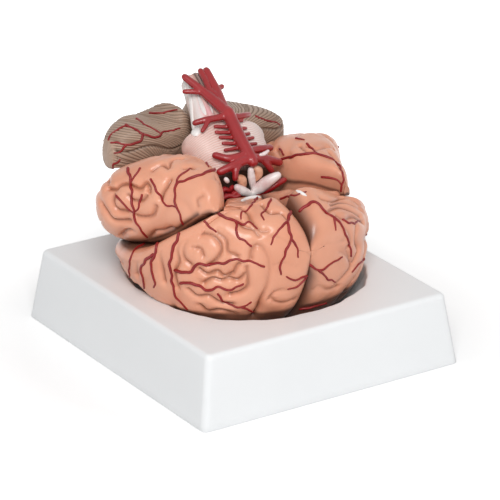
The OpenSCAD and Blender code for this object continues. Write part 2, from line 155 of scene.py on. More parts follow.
# the right lobe is less broad and less high than the left by this much
TRIM_OUT = [(-43.5, 7.5), (-41, 6), (-36, 5.5), (-24, 5.5), (-5, 5), (10, 2.5), (30, 0)]
TRIM_TOP = [(-43.5, 0), (-36, 2.5), (-26, 4), (0, 2.5), (12, -0.5), (20, -1.5), (30, -1), (40, 0)]
STEM_Y, STEM_Z = -9.5, 88.0  # root of the stem, which leans back by 38 degrees
STEM_SIN, STEM_COS = math.sin(math.radians(38)), math.cos(math.radians(38))


def pole_lift(x, y, side):
    """How much higher the frontal top and the temporal pole on it sit than in the solids."""
    high, wide = (5.2, 17) if side > 0 else (1.4, 18)
    lift = high * bell(x - 6, wide) * rise(y, -60, 15) * fall(y, -22, 12)
    if side < 0:
        # highest at the inner edge of the pole, so that nothing catches when the lobe slides out
        past = x - np.interp(y, [-41, -28], [38, 28.5])
        spread = np.where(past > 0, 20, 9)
        lift = lift + 2.8 * bell(past, spread) * rise(y, -56, 11) * fall(y, -22, 17)
    return lift


def smooth_lut(y, table, r=3.0):
    """Table value averaged over a short run, so that the lofts have no kinks."""
    return np.mean([lut(y + d, table) for d in (-r, -r / 2, 0, r / 2, r)])


def cleft(x):
    """Round edge of 12 mm beside the cleft between the hemispheres."""
    return np.where(x >= 12, 0, 12 - np.sqrt(np.maximum(144 - (12 - x) ** 2, 0)))


def settle(z):
    """Crown flattened where it rests in the recess."""
    return np.where(z > 2, z, 2 * np.exp(np.minimum(z, 2) / 2 - 1) - 0.6 + 0.3 * np.clip(z, 0, 2))


def place(p, side):
    """Points of the upright shape to the shared frame, on the right (1) or left (-1) side."""
    p = np.asarray(p, float)
    x = side * np.maximum(p[..., 0], GAP / 2)
    return np.stack([x, p[..., 1], CROWN_Z + settle(p[..., 2] - x * LEAN)], -1)


def upper_angle(y, z):
    """Angle at which the upper section has height z."""
    return math.asin(min(max((z - level_z(y)) / max(upper_h(y), 0.01), 0), 1) ** (1 / ROUND))


def lower_point(y, a):
    q = lower_q(y)
    x = outline_w(y) * np.sin(a) ** (2 / q)
    z = level_z(y) - lower_h(y) * np.maximum(np.cos(a), 0) ** (2 / q)
    return x, np.maximum(z, 0) + cleft(x) * 0.8


def upper_point(y, a):
    x = outline_w(y) * np.maximum(np.cos(a), 0) ** ROUND
    z = level_z(y) + upper_h(y) * np.sin(a) ** ROUND
    return x, z - cleft(x)


def wall_line(y, t, z_end):
    """Outer wall of the lower lobe from the cleft up to z_end."""
    lv = level_z(y)
    share = 100 / (100 + z_end - lv) if z_end > lv else 1.0
    a0 = math.acos(min(max((lv - min(z_end, lv)) / max(lower_h(y), 0.01), 0), 1)
                   ** (lower_q(y) / 2))
    a1 = upper_angle(y, z_end)
    lo = lower_point(y, np.maximum(a0 * t / share, 1e-3))
    if share >= 1:
        return np.stack([lo[0], np.full_like(t, y), lo[1]], -1)
    hi = upper_point(y, np.maximum(a1 * (t - share) / (1 - share), 0))
    low = t <= share
    return np.stack([np.where(low, lo[0], hi[0]), np.full_like(t, y),
                     np.where(low, lo[1], hi[1])], -1)


def polyline(points, n):
    """n points evenly along a polyline."""
    points = np.asarray(points, float)
    d = np.r_[0, np.cumsum(np.linalg.norm(np.diff(points, axis=0), axis=1))]
    t = np.linspace(0, d[-1], n)
    return np.stack([np.interp(t, d, points[:, k]) for k in range(points.shape[1])], -1)


def spline(points, step):
    """Catmull-Rom curve through the points, resampled at about this step."""
    p = np.asarray(points, float)
    p = np.vstack([2 * p[0] - p[1], p, 2 * p[-1] - p[-2]])
    out = []
    for a, b, c, d in zip(p, p[1:], p[2:], p[3:]):
        t = np.linspace(0, 1, 9)[:-1, None]
        out.append(0.5 * (2 * b + (c - a) * t + (2 * a - 5 * b + 4 * c - d) * t ** 2
                          + (3 * b - a - 3 * c + d) * t ** 3))
    out = np.vstack(out + [p[-2][None]])
    length = np.linalg.norm(np.diff(out, axis=0), axis=1).sum()
    return polyline(out, max(int(length / step) + 1, 3))


# ---- Folds ----
def wave(p, side, pitch=20.0):
    """The wandering wave whose zero lines are the furrows, as in the part's source."""
    x, y, z = p[..., 0] * side, p[..., 1], p[..., 2]
    q0 = x + 5 * np.sin(np.radians(z * 4.1 + 40 * side))
    q1 = y + 6 * np.sin(np.radians(x * 3.3 + 90)) + 4 * np.sin(np.radians(z * 5.3))
    q2 = z + 5 * np.sin(np.radians(y * 3.7 + 25 * side))
    k = math.pi / pitch
    return (np.sin(q0 * k) * np.cos(q1 * k) + np.sin(q1 * k) * np.cos(q2 * k)
            + np.sin(q2 * k) * np.cos(q0 * k))


def grid_normals(g):
    """Normals of a grid of closed rings: rows along, columns round."""
    dv = (np.roll(g, -1, axis=1) - np.roll(g, 1, axis=1)) / 2
    return unit(np.cross(dv, np.gradient(g, axis=0)))


def near_line(points, line, reach):
    """Distance of each point to this curve, up to reach."""
    flat = points.reshape(-1, 3)
    out = np.full(len(flat), reach, float)
    every = spline(line, 0.8)
    tree = KDTree(len(every))
    for i, p in enumerate(every):
        tree.insert(p, i)
    tree.balance()
    lo, hi = every.min(0) - reach, every.max(0) + reach
    inside = np.where(((flat > lo) & (flat < hi)).all(1))[0]
    for i in inside:
        out[i] = min(tree.find(flat[i])[2], reach)
    return out.reshape(points.shape[:-1])


# ---- Meshes ----
def new_object(name, verts, faces, body, material, tones=None):
    """Smooth mesh from millimetre points, riding on a CAD body."""
    mesh = bpy.data.meshes.new(name)
    verts = np.asarray(verts, np.float32) * MM
    mesh.vertices.add(len(verts))
    mesh.vertices.foreach_set("co", verts.ravel())
    faces = [np.asarray(f, np.int32) for f in (faces if isinstance(faces, list) else [faces])]
    loops = np.concatenate([f.ravel() for f in faces])
    sizes = np.concatenate([np.full(len(f), f.shape[1]) for f in faces])
    mesh.loops.add(len(loops))
    mesh.loops.foreach_set("vertex_index", loops)
    mesh.polygons.add(len(sizes))
    mesh.polygons.foreach_set("loop_start", np.r_[0, np.cumsum(sizes)[:-1]].astype(np.int32))
    mesh.update(calc_edges=True)
    mesh.validate()
    mesh.polygons.foreach_set("use_smooth", np.ones(len(mesh.polygons), bool))
    for key, values in (tones or {}).items():
        layer = mesh.attributes.new(key, "FLOAT", "POINT")
        layer.data.foreach_set("value", np.asarray(values, np.float32).ravel())
    obj = bpy.data.objects.new(name, mesh)
    bpy.context.scene.collection.objects.link(obj)
    mesh.materials.append(material)
    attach(obj, body)
    return obj


def grid_faces(rows, cols, flip=False, start=0):
    """Quads between rings that follow each other."""
    i = np.arange(rows - 1)[:, None]
    j = np.arange(cols)[None, :]
    a = i * cols + j
    b = i * cols + (j + 1) % cols
    f = np.stack([a, b, b + cols, a + cols], -1).reshape(-1, 4) + start
    return f[:, ::-1] if flip else f


DOME_RINGS = (0.85, 0.6, 0.3, 0.1)


def shell(name, g, side, body, material, tones, node, bulge=0.8):
    """Closed mesh from a grid of rings, with a low dome on each end."""
    caps = []
    for ring, beside in ((g[0], g[1]), (g[-1], g[-2])):
        centre = (ring.max(0) + ring.min(0)) / 2
        out = centre - (beside.max(0) + beside.min(0)) / 2
        out /= max(np.linalg.norm(out), 1e-9)
        dome = min(np.ptp(ring, axis=0).max() * 0.1, bulge)
        caps.append([centre + (ring - centre) * t + out * dome * (1 - t * t) for t in DOME_RINGS])
    g = np.concatenate([caps[0][::-1], g, caps[1]])
    more = len(DOME_RINGS)
    tones = {k: np.concatenate([v[:1]] * more + [v] + [v[-1:]] * more) for k, v in tones.items()}
    rows, cols = g.shape[:2]
    ends = [g[0].mean(0), g[-1].mean(0)]
    verts = np.vstack([g.reshape(-1, 3), ends])
    quads = grid_faces(rows, cols)
    j = np.arange(cols)
    first = np.stack([np.full(cols, rows * cols), (j + 1) % cols, j], -1)
    last = np.stack([np.full(cols, rows * cols + 1), (rows - 1) * cols + j,
                     (rows - 1) * cols + (j + 1) % cols], -1)
    tris = np.vstack([first, last])
    if side < 0:
        quads, tris = quads[:, ::-1], tris[:, ::-1]
    values = {k: np.r_[v.ravel(), v[0].min(), v[-1].min()] for k, v in tones.items()}
    obj = new_object(name, verts, [quads, tris], body, material, tones=values)
    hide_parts(node)


def circle(sides):
    """Columns of cosines and sines of a round section."""
    a = np.linspace(0, 2 * math.pi, sides, endpoint=False)[:, None]
    return np.cos(a), np.sin(a)


def tube_mesh(curves, sides):
    """Vertices and faces of round tubes: each curve is (points, radii)."""
    verts, quads, caps, count = [], [], [], 0
    cos, sin = circle(sides)
    for points, radii in curves:
        points = np.asarray(points, float)
        radii = np.broadcast_to(radii, len(points))
        tangent = unit(np.gradient(points, axis=0))
        up = np.array([0.13, 0.21, 0.97])
        rows = []
        # the ends are rounded by two more rings
        start = [points[0] - tangent[0] * radii[0] * k for k in (0.95, 0.7)]
        end = [points[-1] + tangent[-1] * radii[-1] * k for k in (0.7, 0.95)]
        pts = np.vstack([start, points, end])
        tan = np.vstack([tangent[:1]] * 2 + [tangent] + [tangent[-1:]] * 2)
        rad = np.r_[radii[0] * 0.3, radii[0] * 0.72, radii, radii[-1] * 0.72, radii[-1] * 0.3]
        for p, t, r in zip(pts, tan, rad):
            up = unit(up - t * up.dot(t))
            rows.append(p + r * (cos * up + sin * np.cross(t, up)))
        rows = np.array(rows)
        n = len(rows)
        verts.append(rows.reshape(-1, 3))
        quads.append(grid_faces(n, sides, start=count))
        caps.append(np.arange(sides)[None, ::-1] + count)
        caps.append(np.arange(sides)[None, :] + count + (n - 1) * sides)
        count += n * sides
    return np.vstack(verts), [np.vstack(quads), np.vstack(caps)]


JUMP = 14  # millimetres between hits that aren't on one face


def cast_line(tree, pixels):
    """Pixel path to points on the surface: the longest run with no jump in it."""
    runs, last = [[]], None
    for u, v in spline(pixels, 2.0):
        hit = tree.ray_cast(Vector(EYE), Vector(pixel_ray(u, v)))[0]
        if hit is None or (last is not None and (hit - last).length > JUMP):
            runs.append([])
        last = hit
        if hit is not None:
            runs[-1].append(np.array(hit))
    best = max(runs, key=len)
    return np.array(best) if len(best) > 2 else None


def lay_artery(tree, points, r0, r1):
    """Points and radii of a wandering tube that hugs the surface, from radius r0 to r1."""
    step = 0.9
    path = spline(points, step)
    away = np.arange(len(path)) * step
    sway = 0.45 * np.sin(away * 0.62 + path[0].sum()) + 0.3 * np.sin(away * 1.17 + path[0, 1])
    sway *= np.clip(np.minimum(away, away[-1] - away) / 4, 0, 1)
    across = unit(np.cross(np.gradient(path, axis=0), BACK))
    out = []
    for p in path + across * sway[:, None]:
        hit, normal, _, _ = tree.find_nearest(Vector(p))
        out.append(np.array(hit) + np.array(normal) * r0 * 0.25)
    out = relaxed(relaxed(np.array(out)))
    wobble = 1 + 0.08 * np.sin(np.arange(len(out)) * 0.55 + out[0].sum())
    return out, np.linspace(r0, r1, len(out)) * wobble


# ---- Materials ----
def material(name, base, rough, spec, coat=0.0):
    m = bpy.data.materials.new(name)
    m.use_nodes = True
    t = m.node_tree
    b = t.nodes["Principled BSDF"]
    b.inputs["Base Color"].default_value = (*base, 1)
    b.inputs["Roughness"].default_value = rough
    b.inputs["Specular IOR Level"].default_value = spec
    b.inputs["Coat Weight"].default_value = coat
    return m, t, b


def shader_node(t, kind, **inputs):
    """New shader node, each input set to a value or linked to the socket that is given."""
    n = t.nodes.new("ShaderNode" + kind)
    for key, value in inputs.items():
        socket = n.inputs[key.replace("_", " ")]
        if isinstance(value, bpy.types.NodeSocket):
            t.links.new(value, socket)
        else:
            socket.default_value = value
    return n


def noise(t, scale, detail=4.0):
    where = shader_node(t, "TexCoord").outputs["Object"]
    n = shader_node(t, "TexNoise", Scale=scale, Detail=detail, Roughness=0.55, Vector=where)
    return n.outputs["Fac"]


def ramp(t, fac, stops):
    r = shader_node(t, "ValToRGB", Fac=fac)
    els = r.color_ramp.elements
    while len(els) < len(stops):
        els.new(0.5)
    for e, (pos, col) in zip(els, stops):
        e.position = pos
        e.color = (*col, 1)
    return r.outputs["Color"]


def blend_colour(t, tone, colour, fac):
    """Tone turned to this colour by the factor."""
    n = shader_node(t, "Mix")
    n.data_type = "RGBA"
    t.links.new(tone, n.inputs[6])
    n.inputs[7].default_value = (*colour, 1)
    t.links.new(fac, n.inputs[0])
    return n.outputs[2]


def attribute(t, name):
    a = shader_node(t, "Attribute")
    a.attribute_name = name
    return a.outputs["Fac"]


def bump(t, b, height, strength, distance):
    n = shader_node(t, "Bump", Strength=strength, Distance=distance, Height=height)
    t.links.new(n.outputs["Normal"], b.inputs["Normal"])


def rough_range(t, b, fac, lo, hi):
    n = shader_node(t, "MapRange", To_Min=lo, To_Max=hi, Value=fac)
    t.links.new(n.outputs["Result"], b.inputs["Roughness"])


def make_painted(name, rough, tones, masks, grain, spec=0.5):
    """Moulded plastic with a colour blended in for each mask that the mesh carries."""
    m, t, b = material(name, tones[0], rough[0], spec)
    scale, detail, low, high = tones[1:]
    tone = ramp(t, noise(t, scale, detail), [(0.3, low), (0.7, high)])
    for mask, colour in masks:
        tone = blend_colour(t, tone, colour, attribute(t, mask))
    t.links.new(tone, b.inputs["Base Color"])
    rough_range(t, b, noise(t, 90), *rough)
    bump(t, b, noise(t, grain[0], 3), 0.12, grain[1])
    return m, b


def make_plain(name, lo, hi, scale, r_lo, r_hi, coat=0.0):
    """Moulded plastic of one colour that varies a little from lo to hi."""
    m, t, b = material(name, lo, r_lo, 0.5, coat)
    t.links.new(ramp(t, noise(t, scale, 4), [(0.3, lo), (0.7, hi)]), b.inputs["Base Color"])
    rough_range(t, b, noise(t, scale * 2), r_lo, r_hi)
    bump(t, b, noise(t, 400, 3), 0.15, 0.0003)
    return m


# blended colours: a lighter one as painted light on the crests of the gyri, a dark brown as
# painted shade in the furrows, and a near black as painted shade in the cleft, the hollows and the
# gaps between parts
LOBE, lobe_shader = make_painted(
    "brain plastic", (0.27, 0.38),
    ((0.80, 0.42, 0.27), 28, 3, (0.72, 0.305, 0.185), (0.80, 0.365, 0.230)),
    [("painted_crest_light", (0.84, 0.43, 0.285)), ("furrow", (0.25, 0.078, 0.035)),
     ("painted_shade", (0.075, 0.026, 0.015))], (420, 0.0004))
lobe_shader.inputs["Subsurface Weight"].default_value = 0.06
lobe_shader.inputs["Subsurface Radius"].default_value = (0.004, 0.002, 0.001)
# its furrow colour is painted shade in the grooves between the folia
FOLIA, _ = make_painted(
    "cerebellum plastic", (0.36, 0.5),
    ((0.30, 0.21, 0.16), 40, 4, (0.37, 0.245, 0.175), (0.47, 0.325, 0.240)),
    [("furrow", (0.115, 0.064, 0.040))], (500, 0.0003), 0.4)
# white is partly pale colour along the medulla and partly painted light on the pons; the near
# black and the furrow colour are painted shade
STEM, _ = make_painted(
    "stem plastic", (0.3, 0.46),
    ((0.88, 0.70, 0.66), 45, 4, (0.80, 0.52, 0.46), (0.88, 0.66, 0.60)),
    [("white", (0.90, 0.86, 0.83)), ("pink", (0.86, 0.36, 0.44)),
     ("painted_stem_shade", (0.040, 0.017, 0.010)), ("furrow", (0.62, 0.33, 0.27))], (400, 0.0003), 0.45)
ARTERY = make_plain("artery plastic", (0.27, 0.007, 0.010), (0.36, 0.012, 0.015), 60, 0.28, 0.42,
                    coat=0.15)
VESSEL = make_plain("painted artery", (0.20, 0.003, 0.004), (0.28, 0.006, 0.007), 90, 0.40, 0.55)
STAND = make_plain("stand plastic", (0.85, 0.865, 0.875), (0.88, 0.895, 0.905), 14, 0.42, 0.55)
WHITE = make_plain("white nerve plastic", (0.82, 0.79, 0.76), (0.90, 0.88, 0.86), 60, 0.3, 0.42)
CREAM = make_plain("cream nerve plastic", (0.66, 0.30, 0.17), (0.78, 0.46, 0.32), 120, 0.34, 0.46)
NERVE = make_plain("optic nerve plastic", (0.70, 0.50, 0.49), (0.92, 0.86, 0.84), 170, 0.28, 0.4)
PEGS = make_plain("peg plastic", (0.60, 0.60, 0.58), (0.66, 0.66, 0.64), 40, 0.35, 0.5)

# ---- Lobes ----
SIDES = {-1: "left", 1: "right"}
WALL, TOP, INNER = 190, 70, 8  # points round a ring: outer wall, top, flat inner face


def parietal_grid(side):
    """Rings of the frontal and parietal lobe, with a mask of what is carved."""
    fine = NEAR[side]
    nw, nt = int(WALL * fine), int(TOP * fine)
    stations = np.r_[np.linspace(-68.5, -66, 8), np.linspace(-65.4, -44.5, int(60 * fine)),
                     np.linspace(-44.2, -41, int(12 * fine)),
                     np.linspace(-40.6, 66, int(190 * fine))]
    rows, mask = [], []
    t = np.linspace(0, 1, nw)
    for y in stations:
        front = mix(level_z(y), level_z(y) + upper_h(y), 0.8)
        seam = seam_z(y) - 7
        f = rise(y, -44.5, 3.5)
        z_end = front if f <= 0 else mix(front, seam, f) if f < 1 else seam
        wall = wall_line(y, t, z_end)
        pole = np.clip((y + 67.5) / 10, 0.1, 1)
        m_wall = pole * rise(wall[:, 0], 1, 6) * fall(y, 66, 6)
        if f >= 1:
            m_wall = m_wall * np.clip((1 - t) * 8, 0, 1)
        up = upper_point(y, np.linspace(upper_angle(y, front), math.radians(89.9), nt + 1)[1:])
        top_front = np.stack([up[0], np.full(nt, y), up[1]], -1)
        s = seam_z(y)
        w = wall_line(y, np.array([1.0]), seam)[0, 0]
        slim = min(w / 24, 1)
        root = STEM_Z + (-12 - (y - STEM_Y) * STEM_COS) / STEM_SIN
        b = max(min(root, lut(y, [(-41, 86), (-30, 84), (-22, 83)])),
                lut(y, [(-5, 50), (5, 69), (25, 70), (35, 60), (45, 47), (52, 41)]), s + 0.4)
        x = min(max(lut(y, TEMPORAL_IN) - 0.8, 8), w - 12 * slim)
        dip = 12 * np.clip((-20 - y) / 12, 0, 0.9)
        # rounded lip of the seam, the flat under the temporal lobe, and the step up to the middle
        lip = [(w - i * slim, y, s - d) for i, d in
               ((0, 6.6), (0.3, 5), (1.5, 3.15), (3, 1.9), (5, 1.0), (7.5, 0.3), (10, 0))]
        lip += [(mix(w - 10 * slim, x, 0.5), y, s), (x + 0.1, y, s), (x, y, mix(s, b, 0.5)),
                (x - 0.6, y, b - min(2, (b - s) / 4)), (x - 2, y, b)]
        lip += [(x * i, y, b - dip * max(1 - i * 2, 0) ** 2)
                for i in (0.7, 0.5, 0.35, 0.2, 0.1, 0)]
        top_seam = polyline(lip, nt)
        top = mix(top_front, top_seam, f)
        m_top = (1 - f) * pole * rise(top[:, 0], 1, 6)
        inner = np.stack([np.zeros(INNER), np.full(INNER, y),
                          mix(top[-1, 2], wall[0, 2], np.arange(1, INNER + 1) / (INNER + 1))], -1)
        ring = np.vstack([wall, top, inner])
        ring[:, 2] += pole_lift(ring[:, 0], y, side) * rise(ring[:, 2], front - 14, 12)
        m_top = np.maximum(m_top, 0.7 * rise(y, -46, 3) * fall(y, -18, 6)
                           * rise(top[:, 0], 1, 5) * fall(top[:, 0], x + 4, 6))
        rows.append(ring)
        mask.append(np.r_[m_wall, m_top, np.zeros(INNER)])
    return np.array(rows), np.array(mask)


def temporal_grid(side):
    """Rings of the temporal and occipital lobe, the mask, and the height above its floor."""
    fine = NEAR[side]
    n = int(300 * fine)
    stations = np.r_[np.linspace(-43.5, -40.5, 14), np.linspace(-40, 66.4, int(210 * fine)),
                     np.linspace(66.9, 81.5, int(40 * fine))]
    ang = np.radians(np.linspace(-65, 295, n, endpoint=False))
    rows, mask, height = [], [], []
    for y in stations:
        r = 0.8 if y < -38 else 3.0
        x0, x1 = smooth_lut(y, TEMPORAL_IN, r), smooth_lut(y, TEMPORAL_OUT, r)
        z0, top = smooth_lut(y, TEMPORAL_LEVEL, r), smooth_lut(y, TEMPORAL_TOP, r)
        if side > 0:
            x1, top = x1 - smooth_lut(y, TRIM_OUT, r), top - smooth_lut(y, TRIM_TOP, r)
        rear = rise(y, 66.3, 6)
        floor = mix(seam_z(min(y, 66)) + GAP, max(level_z(y) - lower_h(y), 36.4), rear)
        down = (z0 - floor) * mix(0.75 if y < -38 else 1.07, 1.0, rear)
        xm = mix(x0, x1, 0.42)
        out, above = np.cos(ang) > 0, np.sin(ang) > 0
        e = np.where(out | above, 0.86, 0.55)
        if side > 0:
            e = np.where(out & above, mix(0.86, 0.66, rise(y, -40, 10)), e)
        p = np.stack([xm + np.where(out, x1 - xm, xm - x0) * spow(np.cos(ang), e),
                      np.full(n, y),
                      z0 + np.where(above, top - z0, down) * spow(np.sin(ang), e)], -1)
        p[:, 2] = np.maximum(p[:, 2], floor)
        height.append(p[:, 2] - floor)
        p[:, 2] += pole_lift(p[:, 0], y, side) * fall(p[:, 2], top, top - floor) ** 0.7
        rows.append(p)
        m = rise(p[:, 0], x0 + 2, 3) * rise(p[:, 2], floor + 1.5, 3)
        mask.append(m * np.clip((y + 43.5) / 8, 0.1, 1) * np.clip((83 - y) / 14, 0.1, 1))
    return np.array(rows), np.array(mask), np.array(height)


# Furrows seen in the photo: depth and half width in millimetres, and a path in pixels
SEEN_FURROWS = {
    "left_frontoparietal_lobe": [
        (2.6, 2.4, [(251, 259), (252, 251), (257, 245.6), (263.3, 248.9), (268, 258), (269.6, 268),
                    (268.6, 277), (266.7, 288), (262.2, 298), (260, 304), (258, 311),
                    (253.3, 317)]),
        (1.9, 2.0, [(227.8, 277.8), (233.3, 273.3), (236.7, 266.7), (239.4, 264.4)]),
        (2.0, 2.2, [(246.7, 268), (247.8, 279), (247.2, 288), (240, 293.5), (230, 295.6)]),
        (1.9, 2.1, [(270, 300), (273.3, 294.4), (279, 291.4), (289, 290)]),
        (1.7, 2.0, [(272, 299), (276, 302.5), (284, 303.5), (295.6, 299.5)]),
        (1.6, 2.2, [(197, 234), (203, 233), (212, 235), (219, 242), (221, 251), (216, 260),
                    (209, 265)]),
        (1.6, 2.2, [(187, 240), (183, 249), (184, 259), (190, 265)]),
        (1.5, 2.0, [(192, 247), (200, 249), (203, 256)]),
        (2.0, 2.3, [(199, 270), (207, 275), (217, 272), (224, 277), (233, 274)]),
        (1.9, 2.2, [(203, 284), (212, 279), (221, 281), (229, 279), (238, 281), (246, 274)]),
        (1.8, 2.2, [(188, 290), (197, 297), (208, 297), (219, 303), (232, 305)]),
        (1.6, 2.1, [(227, 208), (239, 207), (248, 212), (252, 221), (261, 231), (268, 231)]),
        (1.6, 2.1, [(236, 219), (244, 226), (253, 229), (259, 236)]),
        (1.5, 2.0, [(262, 204), (270, 212), (281, 212), (288, 219)]),
        (1.4, 2.2, [(217, 232), (226, 240), (228, 252), (238, 257)]),
        (1.3, 2.2, [(272, 236), (282, 238), (292, 244), (300, 243)]),
        (1.3, 2.2, [(273, 265), (284, 263), (296, 266), (303, 264)]),
        (1.8, 2.4, [(146, 243), (143, 252), (137, 262), (136, 276)]),
        (1.8, 2.4, [(165, 240), (160, 252), (161, 268), (164, 282)]),
        (1.6, 2.4, [(125, 250), (122, 260), (122, 270)]),
        (1.6, 2.2, [(181, 238), (177, 250), (178, 262), (174, 274), (177, 288)]),
        (1.7, 2.4, [(200, 306), (208, 312), (220, 311), (232, 314)]),
    ],
    "right_frontoparietal_lobe": [
        (1.7, 2.2, [(327, 212), (338, 206), (350, 209), (361, 216)]),
        (1.7, 2.0, [(331, 204), (341, 201), (352, 204), (361, 209)]),
        (1.6, 2.2, [(322, 198), (332, 200), (341, 197)]),
        (1.6, 2.2, [(337, 215), (346, 219), (354, 216), (364, 222)]),
        (1.7, 2.2, [(343, 226), (349, 233), (351, 243), (347, 250), (350, 258)]),
        (1.6, 2.2, [(357, 228), (356, 240), (359, 250), (354, 262)]),
        (1.5, 2.2, [(326, 243), (335, 243), (344, 240)]),
        (1.7, 2.4, [(340, 252), (347, 256), (352, 266), (346, 275), (337, 284)]),
        (1.7, 2.4, [(309, 282), (312, 290), (318, 286), (328, 290), (338, 287)]),
    ],
    "left_temporo_occipital_lobe": [
        (2.4, 2.3, [(106.7, 188.3), (114.4, 189.4), (118.9, 185), (126.7, 183.9), (133.3, 187.2),
                    (139, 188.3), (144.4, 182.8), (148, 187.2), (148, 192)]),
        (2.0, 2.2, [(169, 179.4), (165.6, 187.2), (162.2, 193), (160.6, 199)]),
        (1.8, 2.0, [(152, 169), (157.8, 165), (163, 164), (168, 167)]),
        (1.6, 1.8, [(169, 166), (171, 160.6), (176, 158.3), (182, 158)]),
        (1.7, 2.0, [(185, 167), (190, 165.5), (193.5, 167.5)]),
        (1.6, 2.2, [(155.6, 207), (152.2, 216), (144.4, 218.3), (136, 217)]),
        (2.0, 2.2, [(113.3, 195), (112.2, 202), (114.4, 208.3), (119, 211.7), (126, 212)]),
        (1.9, 2.3, [(101, 205), (106.7, 214), (113.3, 220.6), (122.2, 222), (129, 221.7)]),
        (1.8, 2.2, [(106, 231), (113, 238), (120, 238), (126, 232), (131, 231)]),
        (0.9, 2.4, [(197.8, 206), (197, 200), (202, 196)]),
        (1.7, 2.2, [(107, 183), (108, 175), (114, 170)]),
        (1.5, 2.2, [(128, 196), (133, 201), (141, 201), (146, 196)]),
        (1.5, 2.2, [(150, 240), (155, 233), (164, 232), (172, 229)]),
    ],
    "right_temporo_occipital_lobe": [
        (1.6, 2.0, [(308, 146), (318, 148), (327, 146), (335, 150)]),
        (1.8, 2.2, [(291, 178), (303, 176), (313, 177), (321, 174)]),
        (1.4, 2.0, [(300, 145), (306, 150), (315, 150)]),
        (1.5, 2.2, [(330, 152), (337, 160), (342, 170)]),
        (1.4, 2.0, [(276, 150), (281, 157), (289, 157)]),
    ],
}


def fold_lobe(base, mask, side, seen, calm_side=False):
    """Carves the furrows into a lobe's grid; returns points, painted furrow shade and crest light.

    Where the photo looks, its own furrows are cut; elsewhere the wave cuts them.
    """
    placed = place(base, side)
    normal = -grid_normals(placed) * side
    tree = grid_tree(placed, side > 0)
    total, paint, cover = (np.zeros(base.shape[:2]) for _ in range(3))
    for depth, width, pixels in seen:
        line = cast_line(tree, pixels)
        if line is None:
            continue
        d = near_line(placed, line, 16)
        cut = depth * (0.75 * bell(d, 0.5 * width) + 0.65 * bell(d, 1.15 * width))
        total = np.maximum(total, cut)
        paint = np.maximum(paint, min(depth / 1.7, 1) * bell(d, 0.36 * width))
        cover = np.maximum(cover, 0.9 * bell(d, 9.0))
    facing = rise(normal @ BACK, 0.05, 0.3)
    calm = rise(normal @ BACK, -0.3, 0.35) if calm_side else facing
    free = 1 - np.clip(np.maximum(facing * 0.75, calm * 0.7) + cover, 0, 0.95)
    w = wave(base, side)
    furrow = bell(w, 0.45)
    small = bell(wave(base * 1.7 + 30, side), 0.3)
    depth = FURROW_DEPTH * furrow * free + 0.9 * small * free + total
    gyrus = (1 - bell(w, 0.9)) * 0.45
    # painted shade in the furrows, and painted light on the crests of the gyri
    tone = np.clip(np.maximum(furrow ** 2 * free, paint * 0.9), 0, 1) * mask
    painted_crest_light = np.clip(gyrus * 1.6 - tone, 0, 1) * mask * 0.5
    points = placed + normal * ((gyrus - depth) * mask)[..., None]
    points[..., 0] = side * np.maximum(points[..., 0] * side, GAP / 2)
    return points, {"furrow": tone, "painted_crest_light": painted_crest_light}


def grid_tree(g, flip=False):
    rows, cols = g.shape[:2]
    faces = grid_faces(rows, cols, flip)
    return BVHTree.FromPolygons([Vector(p) for p in g.reshape(-1, 3)], faces.tolist())


def frontal_painted_shade(base, pts, side):
    """Painted shade under the temporal lobe, in the cleft, on the step and where the recess
    begins.
    """
    x, y, z = base[..., 0], base[..., 1], base[..., 2]
    hollow = rise(z - seam_z(y), 0.5, 3) * rise(y, -23, 4) * fall(x, lut(y, TEMPORAL_IN) + 2, 2)
    outer = np.arange(x.shape[1]) < x.shape[1] - INNER
    middle = 0.95 * bell(x, 1.8 if side < 0 else 4.6) * outer * rise(y, -68.6, 2)
    nw = int(WALL * NEAR[side])
    step = np.zeros(x.shape)
    step[:, nw:] = rise(x[:, nw - 1:nw] - x[:, nw:], 1, 3)
    step *= 0.85 * rise(y, -41, 3) * fall(x, lut(y, TEMPORAL_OUT) - 1, 3) * (z < seam_z(y) + 1)
    foot = 0.85 * fall(pts[..., 2], 42.2, 2.0)
    return np.maximum(np.maximum(hollow, middle), np.maximum(step, foot))


def temporal_painted_shade(base, height, pts, side):
    """Painted shade along the lower edge, and on the inner edge of the right pole."""
    x, y = base[..., 0], base[..., 1]
    painted_shade = 0.95 * np.clip(1.3 - height / 3.4, 0, 1) * fall(y, 66, 6)
    if side > 0:
        painted_shade = np.maximum(painted_shade, 0.4 * fall(x - lut(y, TEMPORAL_IN), 3, 3) * fall(y, -10, 20))
    line = cast_line(grid_tree(pts, side > 0), SEAM_SHADE[side])
    if line is not None:
        painted_shade = np.maximum(painted_shade, 0.9 * bell(near_line(pts, line, 8), 1.5))
    return painted_shade


CORE = "stand_and_core"
FURROW_DEPTH = 3.0
# painted shade along the lower edges of the temporal poles, where the photo is nearly black
SEAM_SHADE = {-1: [(131, 243.5), (153, 239), (171, 232), (184.4, 223.5), (197.8, 214.5)],
              1: [(280, 177), (288, 181.5), (301.7, 182.5), (315, 184.5), (328, 188.5),
                  (338, 191)]}
trees = {}
for side in (-1, 1):
    name = SIDES[side] + "_frontoparietal_lobe"
    base, mask = parietal_grid(side)
    pts, tones = fold_lobe(base, mask, side, SEEN_FURROWS[name])
    pts[..., 2] = np.maximum(pts[..., 2], CROWN_Z)
    # painted shade under the temporal lobe, in the cleft, on the step and at the foot
    tones["painted_shade"] = frontal_painted_shade(base, pts, side)
    shell(SIDES[side] + "_frontal_look", pts, -side, CORE, LOBE, tones, name)
    trees[name] = grid_tree(pts, side > 0)
    name = SIDES[side] + "_temporo_occipital_lobe"
    base, mask, height = temporal_grid(side)
    pts, tones = fold_lobe(base, mask, side, SEEN_FURROWS[name], side > 0)
    # painted shade along the lower edge of the temporal lobe and its seam
    tones["painted_shade"] = temporal_painted_shade(base, height, pts, side)
    shell(SIDES[side] + "_temporal_look", pts, -side, SIDES[side] + "_temporal",
          LOBE, tones, name, 2.4)
    trees[name] = grid_tree(pts, side > 0)

